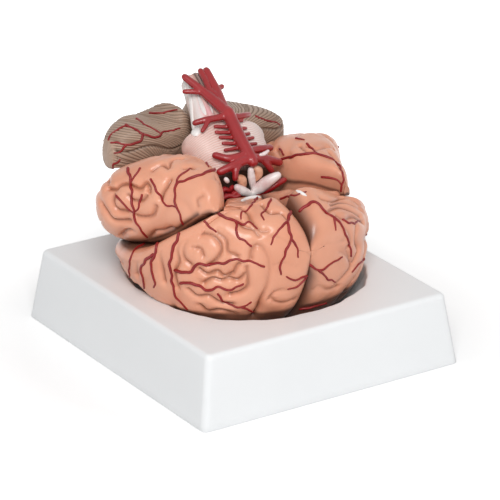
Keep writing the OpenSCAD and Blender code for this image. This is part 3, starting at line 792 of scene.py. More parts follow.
# ---- Arteries painted on the lobes, as pixel paths ----
ARTERIES = {
    "left_frontoparietal_lobe": [
        [(175, 270), (188, 273), (197, 264.5), (210.5, 264.5), (224, 262.5), (236, 259.6),
         (250, 261.5), (264, 266.5)],
        [(181, 283), (193, 283), (206.5, 290), (220, 287), (230, 290), (243, 284)],
        [(218, 294), (226, 303), (242, 307), (251, 302)], [(242, 307), (254, 312)],
        [(179, 234), (173, 250), (170, 264.5), (173, 285), (175, 295), (187, 309)],
        [(159, 240), (155, 253.5), (151, 267), (155, 281), (154, 287)],
        [(153, 254.5), (145, 261.6), (141, 269), (144, 282), (144.4, 288)],
        [(144, 244), (134, 251), (129.6, 265), (129.6, 277)],
        [(202, 219), (213, 210.6), (224.5, 218), (235, 221), (236, 229), (239, 237), (251, 246)],
        [(203, 220), (216, 232)], [(202, 218), (215, 207.6), (229.6, 205)],
        [(235, 221), (243, 224), (249, 222), (257, 229)],
        [(291, 208), (289, 219), (287, 222), (291, 235), (290, 241), (285, 254), (280.5, 264),
         (281, 274)],
        [(287, 222), (278, 230), (275, 236), (271, 244.5)], [(291, 239), (296, 244.5), (298, 257)],
        [(271, 199.6), (268, 207), (262, 214), (264, 220)],
        [(306.5, 276), (293, 280), (286.6, 276.6)], [(305.5, 278), (298, 286), (288, 289)],
        [(257, 198), (249, 209), (242, 212), (241, 219)],
    ],
    "right_frontoparietal_lobe": [
        [(300, 211), (311.6, 202), (319, 205), (327, 214), (335, 218), (341, 225), (346, 236),
         (350, 247.6), (351, 256)],
        [(334, 218), (335.6, 230)], [(343, 220), (350, 223.6), (359.6, 221)],
        [(309.6, 264), (319, 270.5), (335, 261), (342, 257)],
        [(319, 270.5), (327, 278), (335, 282)],
        [(367, 256), (358.6, 264), (352, 272)], [(300, 309), (316, 306), (326, 303)],
        [(281, 199), (291, 196), (306, 192)],
    ],
    "left_temporo_occipital_lobe": [
        [(218, 168.6), (206.5, 172.6), (191, 178.5), (177, 184), (175, 200), (181, 218),
         (183, 224)],
        [(200.6, 154), (208.5, 167)], [(177, 184), (179, 176.5), (191, 168.6)],
        [(151, 179.5), (159, 194), (165, 204), (176, 207)],
        [(128, 168.6), (131, 182.5), (132, 200), (134, 213), (137, 224), (147, 237)],
        [(140, 168.6), (131, 182.5)], [(116.6, 196), (125.5, 206), (134, 213)],
        [(142, 195), (139, 206), (134, 213)],
    ],
    "right_temporo_occipital_lobe": [
        [(281, 160), (295, 156), (310, 153.6), (320, 155), (333, 160), (341, 169), (343, 180.5),
         (341, 191)],
        [(307, 144), (317, 153.6)], [(296, 138.6), (304, 140)],
        [(322, 177), (334, 178), (341, 184)], [(280, 149), (284, 155)],
    ],
}

# Where a ray for a hidden artery starts, from a place in that view, and which way it goes
VIEWS = {"left": (lambda a, b: (-220, a, b), (1, 0, 0)),
         "right": (lambda a, b: (220, a, b), (-1, 0, 0)),
         "rear": (lambda a, b: (a, 220, b), (0, -1, 0))}


def outside_line(tree, view, a, b, bend):
    """Wandering route from a to b seen from one side, kept where the photo doesn't look."""
    start, way = VIEWS[view]
    runs = [[]]
    cross = np.array([a[1] - b[1], b[0] - a[0]]) / max(np.linalg.norm(b - a), 1e-9)
    for t in np.linspace(0, 1, 30):
        aside = bend * math.sin(math.pi * t) + 1.3 * math.sin(9 * t + a.sum())
        p = a + (b - a) * t + cross * aside
        hit, normal, _, _ = tree.ray_cast(Vector(start(*p)), Vector(way))
        # a miss, a jump, or a place that the photo sees, ends the run
        if hit is None or np.array(normal) @ BACK > -0.12 \
                or (runs[-1] and np.linalg.norm(np.array(hit) - runs[-1][-1]) > JUMP):
            runs.append([])
        else:
            runs[-1].append(np.array(hit))
    best = max(runs, key=len)
    return np.array(best) if len(best) > 4 else None


def hidden_curves(tree, routes):
    """A trunk with three twigs for each route."""
    curves = []
    for view, a, b, bend in routes:
        a, b = np.array(a, float), np.array(b, float)
        run = b - a
        parts = [(a, b, bend, 0.85, 0.5)]
        for t, turn in ((0.28, 0.9), (0.52, -0.8), (0.76, 0.7)):
            c, w = math.cos(turn), math.sin(turn)
            cross = np.array([-run[1], run[0]]) / np.linalg.norm(run)
            at = a + run * t + cross * bend * math.sin(math.pi * t)
            arm = np.array([run[0] * c - run[1] * w, run[0] * w + run[1] * c]) * 0.34
            parts.append((at, at + arm, bend * 0.3, 0.62, 0.42))
        for p, q, curve, r0, r1 in parts:
            line = outside_line(tree, view, p, q, curve)
            if line is not None:
                curves.append(lay_artery(tree, line, r0, r1))
    return curves


# Arteries that the photo doesn't see: view, start, end and bend
HIDDEN = {
    "left_frontoparietal_lobe": [
        ("left", (14, 57), (30, 44), 2), ("left", (40, 51), (56, 43), -2)],
    "right_frontoparietal_lobe": [
        ("right", (-40, 72), (-24, 46), 3), ("right", (-12, 63), (2, 44), -2),
        ("right", (18, 56), (30, 43), 2), ("right", (40, 52), (56, 43), -2)],
    "left_temporo_occipital_lobe": [
        ("left", (0, 92), (70, 62), 5), ("left", (30, 96), (64, 76), -3),
        ("rear", (-14, 54), (-46, 74), 3), ("rear", (-34, 52), (-58, 62), -2)],
    "right_temporo_occipital_lobe": [
        ("right", (-26, 84), (44, 68), 6), ("right", (6, 100), (66, 74), -4),
        ("right", (36, 62), (74, 56), 2), ("rear", (14, 54), (46, 74), -3),
        ("rear", (34, 52), (58, 62), 2)],
    "left_cerebellum": [
        ("rear", (-10, 112), (-46, 96), 3), ("rear", (-10, 98), (-42, 90), -2)],
}


def paint_arteries(name, on, routes, body, trunk, twig):
    """The arteries on one piece; trunk and twig are (first, last) radius in millimetres."""
    tree, curves = trees[on], []
    for pixels in routes:
        line = cast_line(tree, pixels)
        if line is not None:
            curves.append(lay_artery(tree, line, *(trunk if len(pixels) > 4 else twig)))
    curves += hidden_curves(tree, HIDDEN.get(on, ()))
    verts, faces = tube_mesh(curves, 8)
    new_object(name, verts, faces, body, VESSEL)


for name, routes in ARTERIES.items():
    body = CORE if "frontoparietal" in name else name.split("_")[0] + "_temporal"
    paint_arteries(name.replace("_lobe", "_arteries"), name, routes, body,
                   (0.92, 0.56), (0.72, 0.44))

# ---- Cerebellum ----
CB_BREADTH = 58
# at each x: front, back and top edge, and how much the left top stands off the top edge
CB_FRONT = [(2.5, 43), (8, 38), (14, 35), (24, 33.5), (36, 34), (46, 35.5), (53, 37), (56.5, 39),
            (58, 41)]
CB_BACK = [(2.5, 66), (8, 71), (14, 74), (24, 75), (36, 71), (46, 64), (53, 57.5), (56.5, 54),
           (58, 51)]
CB_TOP = [(2.5, -9), (8, -3), (14, -1.5), (24, -3.5), (36, -6), (46, -8), (53, -10.5), (56.5, -13),
          (58, -15.5)]
CB_LIFT = [(0, 2.5), (5, 2.4), (10, 0), (15, -3.8), (24, -6), (35, -2), (45, -0.9), (58, 0)]


def cerebellum_grid(side):
    """Rings of a cerebellum half with its folia cut, their painted shade, and the sign of its
    normals.
    """
    n = int(400 * NEAR[side])
    xs = np.r_[np.linspace(2.5, 4.5, 5), np.linspace(4.9, 54, int(150 * FINE)),
               np.linspace(54.3, CB_BREADTH, int(20 * FINE))]
    ang = np.radians(360 - np.linspace(0, 360, n, endpoint=False))
    rows = []
    for x in xs:
        r = 1.0 if x < 5 or x > 56 else 2.5
        y0, y1 = smooth_lut(x, CB_FRONT, r), smooth_lut(x, CB_BACK, r)
        z1 = 114 + smooth_lut(x, CB_TOP, r)
        z0 = mix(z1, 84, 0.5)
        ym = mix(y0, y1, 0.4)
        c, s = np.cos(ang), np.sin(ang)
        y = ym + np.where(c < 0, ym - y0, y1 - ym) * spow(c, 0.75)
        z = z0 + (z1 - z0) * spow(s, 0.75)
        rows.append(np.stack([np.full(n, x), y, z], -1))
    g = np.array(rows)
    # folia: close grooves, slanting above the main artery and fanned out below it
    x, y, z = g[..., 0], g[..., 1], g[..., 2]
    u = CB_BREADTH - x
    slant = 0.9 * z + 0.23 * u + 0.0042 * u ** 2 + 0.3 * y + 0.8 * np.sin(x * 0.15) \
        + 0.5 * np.sin(y * 0.2)
    phase_up = slant * math.pi / 1.5
    theta = np.arctan2(z - 83.0 - 0.12 * (y - 40), 25.0 - x)
    phase_fan = theta * 38 + 0.05 * np.hypot(z - 83, 25 - x)
    edge = 95.5 + 0.04 * (x - 25) + 1.5 * np.sin(x * 0.21)
    upper = np.clip((z - edge) / 0.8 + 0.5, 0, 1)
    groove = mix(bell(np.sin(phase_fan), 0.45), bell(np.sin(phase_up), 0.45), upper)
    major = np.clip(bell(z - edge, 0.7) + 0.7 * bell(np.sin(phase_up / 8 + 0.6), 0.07) * upper
                    + 0.7 * bell(np.sin(phase_fan / 6 + 0.3), 0.07) * (1 - upper), 0, 1)
    ends = rise(x, 3, 3) * np.clip(u / 2, 0.2, 1)
    high = rise(z, 98, 14)
    if side < 0:
        g[..., 2] += lut(x, CB_LIFT) * high
    else:
        g[..., 2] -= 2.2 * np.clip(x / 30, 0, 1) * high
    breadth = 56 if side < 0 else 55
    placed = place(g * np.array([breadth / CB_BREADTH, 1, 1]), side)
    normal = grid_normals(placed)
    flip = np.sign(np.mean(np.sum(normal * (placed - placed.mean((0, 1))), -1)))
    normal = normal * flip
    placed = placed - normal * ((0.5 * groove + 0.8 * major) * ends)[..., None]
    floor = CROWN_Z + lut(placed[..., 1], TEMPORAL_TOP) - placed[..., 0] * LEAN + GAP
    placed[..., 2] = np.maximum(placed[..., 2], floor)
    # the grooves' paint is painted shade
    return placed, np.clip(groove * 0.85 + major * 0.7, 0, 1) * ends, flip


CB_ARTERIES = {"left": [
    [(126, 125), (136.7, 130.6), (143, 134), (153.3, 137.8), (157.8, 136.7), (162, 133),
     (171, 130.6), (179.6, 128.3)],
    [(136.7, 119), (144.4, 124.4), (155.6, 130.6), (161, 133.9)],
    [(143, 134), (141, 139.4), (135.6, 144), (126.7, 144.4), (120, 143), (111, 143)],
    [(126.7, 144.4), (120, 151.7), (112.2, 153.3)],
    [(126, 125.6), (116.7, 130.6), (111, 134), (108.5, 140)],
    [(150, 113), (160, 113.6), (169, 111.4), (177, 110)],
    [(111, 165), (116.7, 163), (120, 159.4)], [(130, 164), (136.7, 163), (144.4, 160.6)],
], "right": [
    [(256, 116), (264, 120), (272, 121), (280, 125)],
]}
for side, word in SIDES.items():
    pts, tone, flip = cerebellum_grid(side)
    body = word + "_cerebellum"
    shell(body + "_look", pts, flip, body, FOLIA, {"furrow": tone},
          body + "_half")
    trees[body] = grid_tree(pts)
for word, routes in CB_ARTERIES.items():
    body = word + "_cerebellum"
    paint_arteries(body + "_arteries", body, routes, body, (0.85, 0.5), (0.7, 0.5))


# ---- Brainstem ----
def stem_point(x, s, h):
    """Point of the shared frame: x across, s along the stem from its root, h to its front."""
    return np.stack(np.broadcast_arrays(x, STEM_Y + s * STEM_COS - h * STEM_SIN,
                                        CROWN_Z + STEM_Z + s * STEM_SIN + h * STEM_COS
                                        - np.asarray(x) * LEAN), -1)


STEM_BREADTH = 42
STEM_W = [(-12, 0.36), (0, 0.4), (8, 0.47), (14, 0.5), (28, 0.5), (35, 0.42)]
STEM_FRONT = [(-12, -9), (0, -4), (6, 3), (11, 5.4), (20, 6.2), (32, 6), (36, 4.2), (42, 3.4),
              (56, 2.6), (70, 1.6), (90, 1)]
STEM_BACK = [(-12, 21), (8, 22), (32, 21), (42, 17.5), (56, 15), (70, 12.5), (90, 11)]


def stem_half(s):
    """Half the breadth of the stem: pons up to 35, medulla past it."""
    if s < 35:
        return STEM_BREADTH * smooth_lut(s, STEM_W, 1.5) + 2.2 * rise(s, 15, 5) * fall(s, 36, 3) \
            + 2.6 * rise(s, 23, 7) * fall(s, 36.5, 3)
    return mix(STEM_BREADTH * 0.42, 6.5, rise(s, 35, 35) ** 0.42)


def stem_grid(side):
    """Rings of a brainstem half from its root; paint masks with painted light and shade."""
    ns, na = int(230 * FINE), int(150 * FINE)
    stations = np.linspace(-12, 70, ns)
    ang = np.radians(np.linspace(90, -90, na))
    rows, tones = [], {"white": [], "pink": [], "painted_stem_shade": [], "furrow": []}
    for s in stations:
        k = 1.0 - 0.18 * rise(s, 68.5, 1.5) ** 2
        w = stem_half(s) * k
        f, b = smooth_lut(s, STEM_FRONT, 1.5) * k, smooth_lut(s, STEM_BACK, 3) * k
        h0 = (f - b) / 2
        c, sn = np.abs(np.cos(ang)), np.sin(ang)
        x = np.maximum(w * c ** 0.85, GAP / 2)
        h = h0 + (f + b) / 2 * spow(sn, 0.85)
        # fibres over the pons, and grooves along the medulla
        pons = rise(s, 4, 4) * fall(s, 35, 2.5)
        front = np.clip(sn * 3, 0, 1)
        pinch = 1 + 0.55 * (x / 21) ** 2
        fibre = np.sin(((s - 19) * pinch) * 3.7 + 0.35 * np.sin(x * 1.3))
        med = rise(s, 36, 3)
        ridge = bell(x - 2.6, 0.9) + bell(x - 0.62 * w, 0.9)
        lump = bell(x - 5.6, 1.8) * bell(s - 45, 6)
        groove = bell(s - 35.6, 0.9)
        d = (0.26 * fibre - 0.1) * pons * front - med * front * (0.7 * ridge - lump) \
            - 0.8 * groove * front - 0.9 * bell(x, 2.2) * front * (s > 4)
        d = d * np.clip(x, 0, 1)
        rows.append(stem_point(side * np.maximum(x + d * c, GAP / 2), s, h + d * sn))
        # pale fibres as painted light on the pons, a pale strip along the medulla, and a painted
        # highlight on the right half's pons
        tones["white"].append(np.clip(0.35 * pons * front * (fibre * 0.5 + 0.5)
                                      + bell(x - 0.86 * w, 1.6) * med * 0.9
                                      + 0.5 * pons * front * (side > 0), 0, 1))
        tones["pink"].append(0.75 * bell(x - 6.4, 2.2) * bell(s - 44, 5) * front
                             * (1 if side < 0 else 0.3))
        # painted shade at the root and in the crease down the middle of the medulla
        tones["painted_stem_shade"].append(fall(s, 7.5, 2.5) + 0.9 * bell(x - 1.2, 1.3)
                             * rise(s, 50, 6) * front)
        # painted shade in the grooves of the medulla and between the pons fibres
        tones["furrow"].append(np.clip((ridge * med + groove) * 0.55 * front
                                       + 0.6 * pons * front * (0.5 - 0.5 * fibre), 0, 1))
    return np.array(rows), {k: np.array(v) for k, v in tones.items()}


for side, word in SIDES.items():
    pts, tones = stem_grid(side)
    trees[word + "_stem"] = grid_tree(pts)
    shell(word + "_stem_look", pts, -side, CORE, STEM, tones,
          word + "_brainstem_half")


def stem_path(places):
    """Curve through places on the stem: x, s, and how far below H."""
    return spline([stem_point(x, s, H - low) for x, s, low in places], 0.8)


# Arteries of the base: first radius, last radius and places on the stem.
# H is the middle of the main artery, its radius and a gap above the front of the pons.
H = 6.2 + 3.6 + 0.25
TREE = [
    (3.3, 3.6, [(-0.3, 4.6, 0), (-0.4, 12, 0), (-0.4, 21, 0), (0, 30, 0), (0.2, 37, 0)]),
    (3.2, 1.9, [(0.2, 36, 0.2), (-1, 42, 1.4), (-2.8, 48.5, 3), (-6, 57, 4.6), (-10.2, 66, 5.6)]),
    (2.9, 2.1, [(0.2, 36, 0.2), (0.9, 43, 1.8), (3.2, 52, 3.8), (4, 61, 4.8), (4.6, 68, 5.5)]),
    (1.7, 1.6, [(0.7, 68, 5), (0.2, 61, 4.4), (-0.6, 54.5, 3.8), (1.5, 47.5, 2.6),
                (0.8, 42, 1.8)]),
    (1.6, 1.3, [(-3, 54, 4.2), (-6, 54.6, 4.6), (-10, 56, 5.3), (-14, 57.8, 7)]),
    (1.3, 1.5, [(3.2, 54.4, 4.2), (6, 55.6, 4.6), (8.6, 56.5, 5.2)]),
    (2.0, 1.6, [(-0.5, 35, 0), (-4, 35.2, 1), (-7.9, 35.4, 1.8), (-13, 36.2, 3.4),
                (-18, 37, 6.2)]),
    (1.4, 1.1, [(-10.8, 35.4, 2.4), (-13, 34, 2.8), (-15, 32.2, 3.2), (-17.4, 30.4, 4.2)]),
    (2.0, 1.5, [(0.5, 35, 0), (4.8, 34, 1), (8, 34.3, 1.8), (11.2, 35, 2.8), (16, 36.6, 5.4)]),
    (2.3, 1.9, [(-0.6, 9.6, 0), (-6, 9.1, 0.9), (-12.7, 9.6, 1.8), (-17.5, 13.9, 4)]),
    (2.3, 1.9, [(0.6, 11, 0), (4.5, 11.8, 0.9), (11, 12.2, 1.8), (17.4, 13.4, 4.2)]),
    (2.6, 2.0, [(-0.5, 6, 0), (-6, 5.6, 0.6), (-12.8, 4.4, 1.8), (-19.4, 3.9, 4.6)]),
    (2.6, 2.2, [(0.5, 6.4, 0), (5, 6.2, 0.6), (11, 5, 1.8), (18.5, 4, 4.8)]),
    (1.9, 1.6, [(-7, 5.4, 0.9), (-10.5, 2.8, 1.8), (-11.8, 0.6, 3.2), (-12.4, -1.4, 4.8)]),
    (1.9, 1.6, [(6.4, 6, 0.8), (8.4, 3.4, 1.8), (10, 1.6, 3.2), (11.6, 0, 5)]),
]
# Side twigs of the main artery: x and s where each starts and ends
COMBS = [(-1, 28.6, -9.4, 31.1), (-1, 25, -10.6, 27.5), (-1, 21.6, -9.8, 24), (-1, 17.8, -9.9, 20),
         (-1, 14.9, -10.9, 15.6), (1, 31.4, 8.5, 32.2), (1, 26.7, 8.3, 27.1), (1, 22.7, 8.5, 23.5),
         (1, 19.4, 9.6, 20.6), (1, 16, 9.5, 16.7)]
curves = []
for r0, r1, path in TREE:
    pts = stem_path(path)
    curves.append((pts, np.linspace(r0, r1, len(pts)) + 0.08))
for x0, s0, x1, s1 in COMBS:
    pts = stem_path([(x0, s0, 1.8), ((x0 + x1) / 2, s0 * 0.6 + s1 * 0.4, 2.2), (x1, s1, 3)])
    curves.append((pts, np.linspace(1.12, 0.98, len(pts))))
verts, faces = tube_mesh(curves, 16)
tree_obj = new_object("basilar_tree_look", verts, faces, "arteries", ARTERY)
# one moulded piece: the tubes are fused, with soft fillets where they meet
fuse = tree_obj.modifiers.new("fuse", "REMESH")
fuse.mode = "VOXEL"
fuse.voxel_size = 0.0004
soften = tree_obj.modifiers.new("soften", "SMOOTH")
soften.factor = 0.5
soften.iterations = 5
graph = bpy.context.evaluated_depsgraph_get()
fused = bpy.data.meshes.new_from_object(tree_obj.evaluated_get(graph))
tree_obj.modifiers.clear()
tree_obj.data = fused
for polygon in fused.polygons:
    polygon.use_smooth = True
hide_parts("basilar_artery_tree")


# ---- Nerves and lumps round the root of the stem ----
def add_beads(name, curves, mat):
    verts, faces = tube_mesh(curves, 16)
    new_object(name, verts, faces, CORE, mat)


def bead(points, radii):
    """Smooth path through the points, with radii spread evenly along it."""
    pts = spline(points, 0.6)
    t = np.linspace(0, 1, len(radii))
    return pts, np.interp(np.linspace(0, 1, len(pts)), t, radii)


def band_mesh(bands):
    """Low round-topped bands that lie on a surface: each is (points, normals, widths, height)."""
    verts, quads, count, sides = [], [], 0, 12
    cos, sin = circle(sides)
    for points, normals, widths, h in bands:
        n = len(points)
        taper = np.sqrt(np.clip(np.minimum(np.arange(n) + 0.3, n - 0.7 - np.arange(n)) / 3, 0, 1))
        for p, t, m, w, k in zip(points, np.gradient(points, axis=0), normals, widths, taper):
            b = unit(np.cross(unit(t), m))
            verts.append(p + k * (cos * b * w + sin * m * h))
        quads.append(grid_faces(n, sides, start=count))
        count += n * sides
    return np.vstack(verts), np.vstack(quads)


def lay_band(tree, pixels, width, height):
    """Band along a pixel path on a surface, or None where the path misses it."""
    line = cast_line(tree, pixels)
    if line is None:
        return None
    path, normals = spline(line, 0.8), []
    for k, p in enumerate(path):
        hit, normal, _, _ = tree.find_nearest(Vector(p))
        path[k] = np.array(hit)
        normals.append(np.array(normal))
    normals = np.array(normals)
    for _ in range(6):
        path, normals = relaxed(path), relaxed(normals)
    t = np.linspace(0, 1, len(path))
    return path, normals, np.interp(t, np.linspace(0, 1, len(width)), width), height


def add_bands(name, tree_name, lines):
    """White bands on a surface: each line is (pixel path, half widths, height)."""
    bands = [lay_band(trees[tree_name], *line) for line in lines]
    verts, faces = band_mesh([b for b in bands if b is not None])
    new_object(name, verts, faces, CORE, WHITE)


def spots(pixels, y):
    """Points where the rays through these pixels cross the planes at these y."""
    rays = [pixel_ray(u, v) for u, v in pixels]
    return [EYE + d * ((w - EYE[1]) / d[1]) for d, w in zip(rays, np.broadcast_to(y, len(rays)))]


add_beads("optic_nerves", [
    bead(spots([(237.5, 187.5), (242, 190.6), (247, 193), (251, 195)], (-13.5, -13, -12.4, -12)),
         [2.0, 2.7, 2.4, 1.8]),
    bead(spots([(277.3, 175.6), (272, 178.6), (265.5, 183), (259.5, 188), (254, 192)],
               (-19, -17.5, -15.5, -13.5, -12)), [2.2, 3.0, 3.3, 3.3, 2.4]),
    bead(spots([(250.8, 170), (251.3, 176), (252.5, 183), (254, 189)],
               (-11.5, -11.5, -11.5, -11)), [1.7, 2.2, 1.9, 1.6]),
    bead(spots([(226, 179.5), (227.2, 181)], -14), [1.3, 1.3]),
    bead(spots([(260.5, 154.8), (264, 153.8), (268, 151)], -21), [0.8, 1.1, 0.8]),
], NERVE)
add_beads("base_lumps", [
    bead(spots([(255, 167.6), (258.4, 170.6), (258.4, 174.5), (255.5, 179)],
               (-11, -11.5, -11.5, -11)), [1.5, 2.4, 2.3, 1.6]),
    bead(spots([(239.2, 178.2), (241.6, 179.8), (243, 184)], -11), [2.2, 2.8, 2.2]),
], CREAM)
add_beads("base_arteries", [
    bead([(-24, -12, 89), (-18, -10, 91.6), (-14, -9.4, 93), (-9, -10.5, 91.5), (-5, -12.5, 90)],
         [1.5, 1.7, 1.8, 1.7, 1.4]),
    bead(spots([(220, 193), (224, 189.4), (229, 190.4), (232.6, 187)], (-13, -12, -11, -10)),
         [1.2, 1.5, 1.4, 1.2]),
    bead(spots([(222, 199), (228, 196), (234, 197.4), (239, 195.5)], (-17, -16, -16, -15)),
         [1.1, 1.4, 1.4, 1.1]),
    bead(spots([(231, 200), (234.5, 193), (239, 197)], (-16, -14, -15)), [1.0, 1.3, 1.0]),
    bead(spots([(257, 193.5), (264, 191), (271, 187.5), (278, 183), (284, 180)],
               (-13.5, -13.5, -14, -15, -15)), [1.5, 1.9, 2.0, 1.9, 1.6]),
], ARTERY)
add_bands("left_olfactory_tract", "left_frontoparietal_lobe", [
    ([(241, 201.5), (248, 198.2), (257, 197), (267, 198.5), (275, 201.5), (282, 206)],
     [0.7, 1.0, 1.0, 1.0, 1.2, 0.8], 0.9),
])
add_bands("right_olfactory_tract", "right_frontoparietal_lobe", [
    ([(271, 193.4), (276, 190.4), (282.2, 189), (291, 189.6), (297.8, 191.2), (306.7, 196)],
     [0.8, 1.1, 1.1, 1.0, 1.1, 0.8], 0.9),
])

# the pegs keep their CAD shape
for peg in ("left_temporal_pegs", "right_temporal_pegs", "left_cerebellum_peg",
            "right_cerebellum_peg", "hemisphere_pegs", "brainstem_peg"):
    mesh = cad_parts[peg].data
    mesh.materials.clear()
    mesh.materials.append(PEGS)

add_bands("left_stem_nerves", "left_stem", [
    ([(188.5, 78), (190, 92), (191.4, 108), (192.6, 122),
    (194, 131)], [1.5, 1.4, 1.5, 1.8, 1.6], 0.9),
    ([(197, 92), (200, 100), (204, 110), (206, 115)], [0.7, 1.0, 1.5, 1.3], 0.6),
    ([(184, 76), (185.5, 92), (187, 108)], [1.2, 1.4, 0.9], 0.5),
    ([(207, 94), (209.5, 103), (213, 113)], [0.8, 1.0, 0.9], 0.5),
    ([(195.8, 127.6), (196, 132), (196.2, 136.4)], [2.4, 2.9, 2.9], 1.6),
])

# ---- Stand ----
STAND_TOP, SHEET, RECESS = 40.5, 2.5, 30.5  # height, thickness, depth down to the crown
FOOT_X, FOOT_Y = 82, 91.5
DRAFT_X, DRAFT_Y = 6, 5.3  # how much the sides lean in up to the top


def rect_loop(hx, hy, r):
    """Rectangle with round corners: 40 points a side and 12 a corner."""
    out = []
    for k, (cx, cy) in enumerate([(hx - r, hy - r), (-hx + r, hy - r), (-hx + r, -hy + r),
                                  (hx - r, -hy + r)]):
        for a in np.radians(np.linspace(90 * k, 90 * k + 90, 12)):
            out.append((cx + r * math.cos(a), cy + r * math.sin(a)))
        nx, ny = [(-hx + r, hy), (-hx, -hy + r), (hx - r, -hy), (hx, hy - r)][k]
        x, y = out[-1]
        for t in np.linspace(0, 1, 42)[1:-1]:
            out.append((mix(x, nx, t), mix(y, ny, t)))
    return np.array(out)


def bowl_loop(z, grow, angles, wavy=0.0):
    """Outline of the recess at this height above the crown, grown by this much."""
    def depth_share(h):
        return min(max((LEVEL - h) / LOWER_H, 0), 0.965)

    def width(h):
        return HALF_W * (1 - depth_share(h) ** 1.85) ** (1 / 1.85)

    left = width(z - width(z) * LEAN) + 1.5 + grow
    right = width(z + width(z) * LEAN) + 2.5 + grow
    k = depth_share(z + 2)
    y0 = MID_Y - FRONT_RUN * float(swell(k, 2.4)) - 2.5 - grow
    y1 = MID_Y + REAR_RUN * float(swell(k, 1.5)) + 2.5 + grow
    c, sn = np.cos(angles), np.sin(angles)
    ripple = wavy * (np.sin(angles * 13 + 0.6) * 0.5 + np.sin(angles * 29 + 1.7) * 0.3
                     + np.sin(angles * 7) * 0.35)
    x = np.where(c > 0, right, left) * spow(c, ROUND)
    y = (y0 + y1) / 2 + (y1 - y0) / 2 * spow(sn, ROUND)
    n = unit(np.stack([x, y - (y0 + y1) / 2], -1))
    return np.stack([x, y], -1) + n * ripple[:, None]


def stand_mesh():
    """Loops from the foot up the outside, over the rim, down the bowl and back underneath."""
    edge, rim_edge, ripple = 3.0, 0.7, 0.8
    loops = []

    def add(loop, z):
        loops.append(np.c_[loop, np.full(len(loop), z)])

    def wall_loop(z, shrink, r):
        k = z / STAND_TOP
        return rect_loop(FOOT_X - DRAFT_X * k - shrink, FOOT_Y - DRAFT_Y * k - shrink, r)

    for z in (0, 0.5, 4, 10, 18, 26, 33, STAND_TOP - edge):
        add(wall_loop(z, 0.25 if z == 0 else 0, 4), z)
    for a in np.radians(np.linspace(12, 90, 8)):
        turn = 1 - math.cos(a)
        add(wall_loop(STAND_TOP - edge, edge * turn, 4 - 2.4 * turn),
            STAND_TOP - edge * (1 - math.sin(a)))
    outer = loops[-1][:, :2]
    angles = np.arctan2(outer[:, 1] / 80, outer[:, 0] / 76)
    rim = bowl_loop(RECESS, -0.4, angles, ripple)
    for t in (0.03, 0.1, 0.3, 0.55, 0.8, 0.93):
        add(mix(outer, rim, t), STAND_TOP)
    for a in np.radians(np.linspace(0, 90, 6)):
        drop = rim_edge * (1 - math.cos(a))
        add(bowl_loop(RECESS - drop, rim_edge * (1 - math.sin(a)) - 1.1, angles, ripple),
            STAND_TOP - drop)
    for z in np.r_[np.linspace(28.5, 6, 14), np.linspace(5, 0.5, 6)]:
        add(bowl_loop(z, -1.1 * max(z - 22, 0) / 8.5, angles, ripple * z / RECESS), CROWN_Z + z)
    low = bowl_loop(0, 0, angles)
    for t in (1, 0.8, 0.5, 0.2, 0.02):
        add(low * t, CROWN_Z)
    for t in (0.02, 0.3, 0.7, 1):
        add(low * t * 1.1, CROWN_Z - SHEET)
    for z in np.r_[np.linspace(0.5, 6, 5), np.linspace(9, RECESS - SHEET, 8)]:
        add(bowl_loop(z, SHEET, angles), CROWN_Z + z - 0.6)
    under = loops[-1][:, :2]
    inner = rect_loop(FOOT_X - DRAFT_X - SHEET, FOOT_Y - DRAFT_Y - SHEET, 2)
    for t in (0.3, 0.7, 1):
        add(mix(under, inner, t), STAND_TOP - SHEET)
    for z in (34, 26, 18, 10, 4, 0):
        add(wall_loop(z, SHEET, 2), z)
    return np.array(loops)


g = stand_mesh()
rows, cols = g.shape[:2]
j = np.arange(cols)
foot = np.stack([(rows - 1) * cols + j, (rows - 1) * cols + (j + 1) % cols, (j + 1) % cols, j], -1)
stand_obj = new_object("stand_look", g.reshape(-1, 3), np.vstack([grid_faces(rows, cols), foot]),
                       CORE, STAND)
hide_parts("stand")

# ---- Floor, light and camera ----
def seen_directly(t):
    """1 for rays from the camera and through gloss or glass, which see the white room."""
    path = shader_node(t, "LightPath")
    total = path.outputs["Is Camera Ray"]
    for key in ("Is Glossy Ray", "Is Transmission Ray"):
        most = shader_node(t, "Math")
        most.operation = "MAXIMUM"
        t.links.new(total, most.inputs[0])
        t.links.new(path.outputs[key], most.inputs[1])
        total = most.outputs[0]
    return total


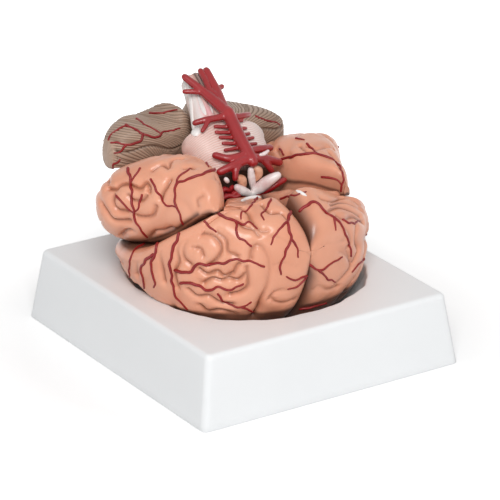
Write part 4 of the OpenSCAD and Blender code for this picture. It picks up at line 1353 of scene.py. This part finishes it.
def add_floor():
    mesh = bpy.data.meshes.new("floor")
    r = 6.0
    mesh.from_pydata([(-r, -r, 0), (r, -r, 0), (r, r, 0), (-r, r, 0)], [], [(0, 1, 2, 3)])
    obj = bpy.data.objects.new("floor", mesh)
    bpy.context.scene.collection.objects.link(obj)
    m, t, b = material("floor white", (0.80, 0.80, 0.80), 0.9, 0.0)
    mesh.materials.append(m)
    b.inputs["Emission Color"].default_value = (1, 1, 1, 1)
    # the floor turns to plain white away from the model, and keeps its shadow near it
    away = shader_node(t, "VectorMath")
    away.operation = "LENGTH"
    t.links.new(shader_node(t, "TexCoord").outputs["Object"], away.inputs[0])
    far = shader_node(t, "MapRange", From_Min=0.12, From_Max=0.34, To_Min=0.30,
                      Value=away.outputs["Value"])
    glow = shader_node(t, "Math")
    glow.operation = "MULTIPLY"
    t.links.new(far.outputs["Result"], glow.inputs[0])
    t.links.new(seen_directly(t), glow.inputs[1])
    t.links.new(glow.outputs[0], b.inputs["Emission Strength"])


add_floor()
world = bpy.data.worlds.new("white room")
bpy.context.scene.world = world
world.use_nodes = True
wt = world.node_tree
bg = wt.nodes["Background"]
bg.inputs["Color"].default_value = (1, 1, 1, 1)
# the white room lights the model less than it shows itself
level = shader_node(wt, "MapRange", To_Min=0.42, To_Max=1.0, Value=seen_directly(wt))
wt.links.new(level.outputs["Result"], bg.inputs["Strength"])


def area_lamp(name, at, aim, size, power):
    lamp = bpy.data.lights.new(name, "AREA")
    lamp.size = size
    lamp.energy = power
    obj = bpy.data.objects.new(name, lamp)
    bpy.context.scene.collection.objects.link(obj)
    obj.location = at
    obj.rotation_euler = (Vector(aim) - Vector(at)).to_track_quat("-Z", "Y").to_euler()


area_lamp("key", (-0.9, -1.4, 1.4), (0, 0, 0.06), 0.8, 28)
area_lamp("fill", (1.3, -1.2, 1.0), (0, 0, 0.06), 1.2, 1.5)

SENSOR = 36
cam_data = bpy.data.cameras.new("camera")
cam = bpy.data.objects.new("camera", cam_data)
bpy.context.scene.collection.objects.link(cam)
cam_data.sensor_width = SENSOR
cam_data.lens = SENSOR * FOCAL / PICTURE
cam_data.clip_end = 100
cam.matrix_world = Matrix([[RIGHT[i], UP[i], BACK[i], EYE[i] * MM] for i in range(3)]
                          + [[0, 0, 0, 1]])
bpy.context.scene.camera = cam
bpy.context.scene.render.resolution_x = PICTURE
bpy.context.scene.render.resolution_y = PICTURE
bpy.context.scene.view_settings.view_transform = "Standard"
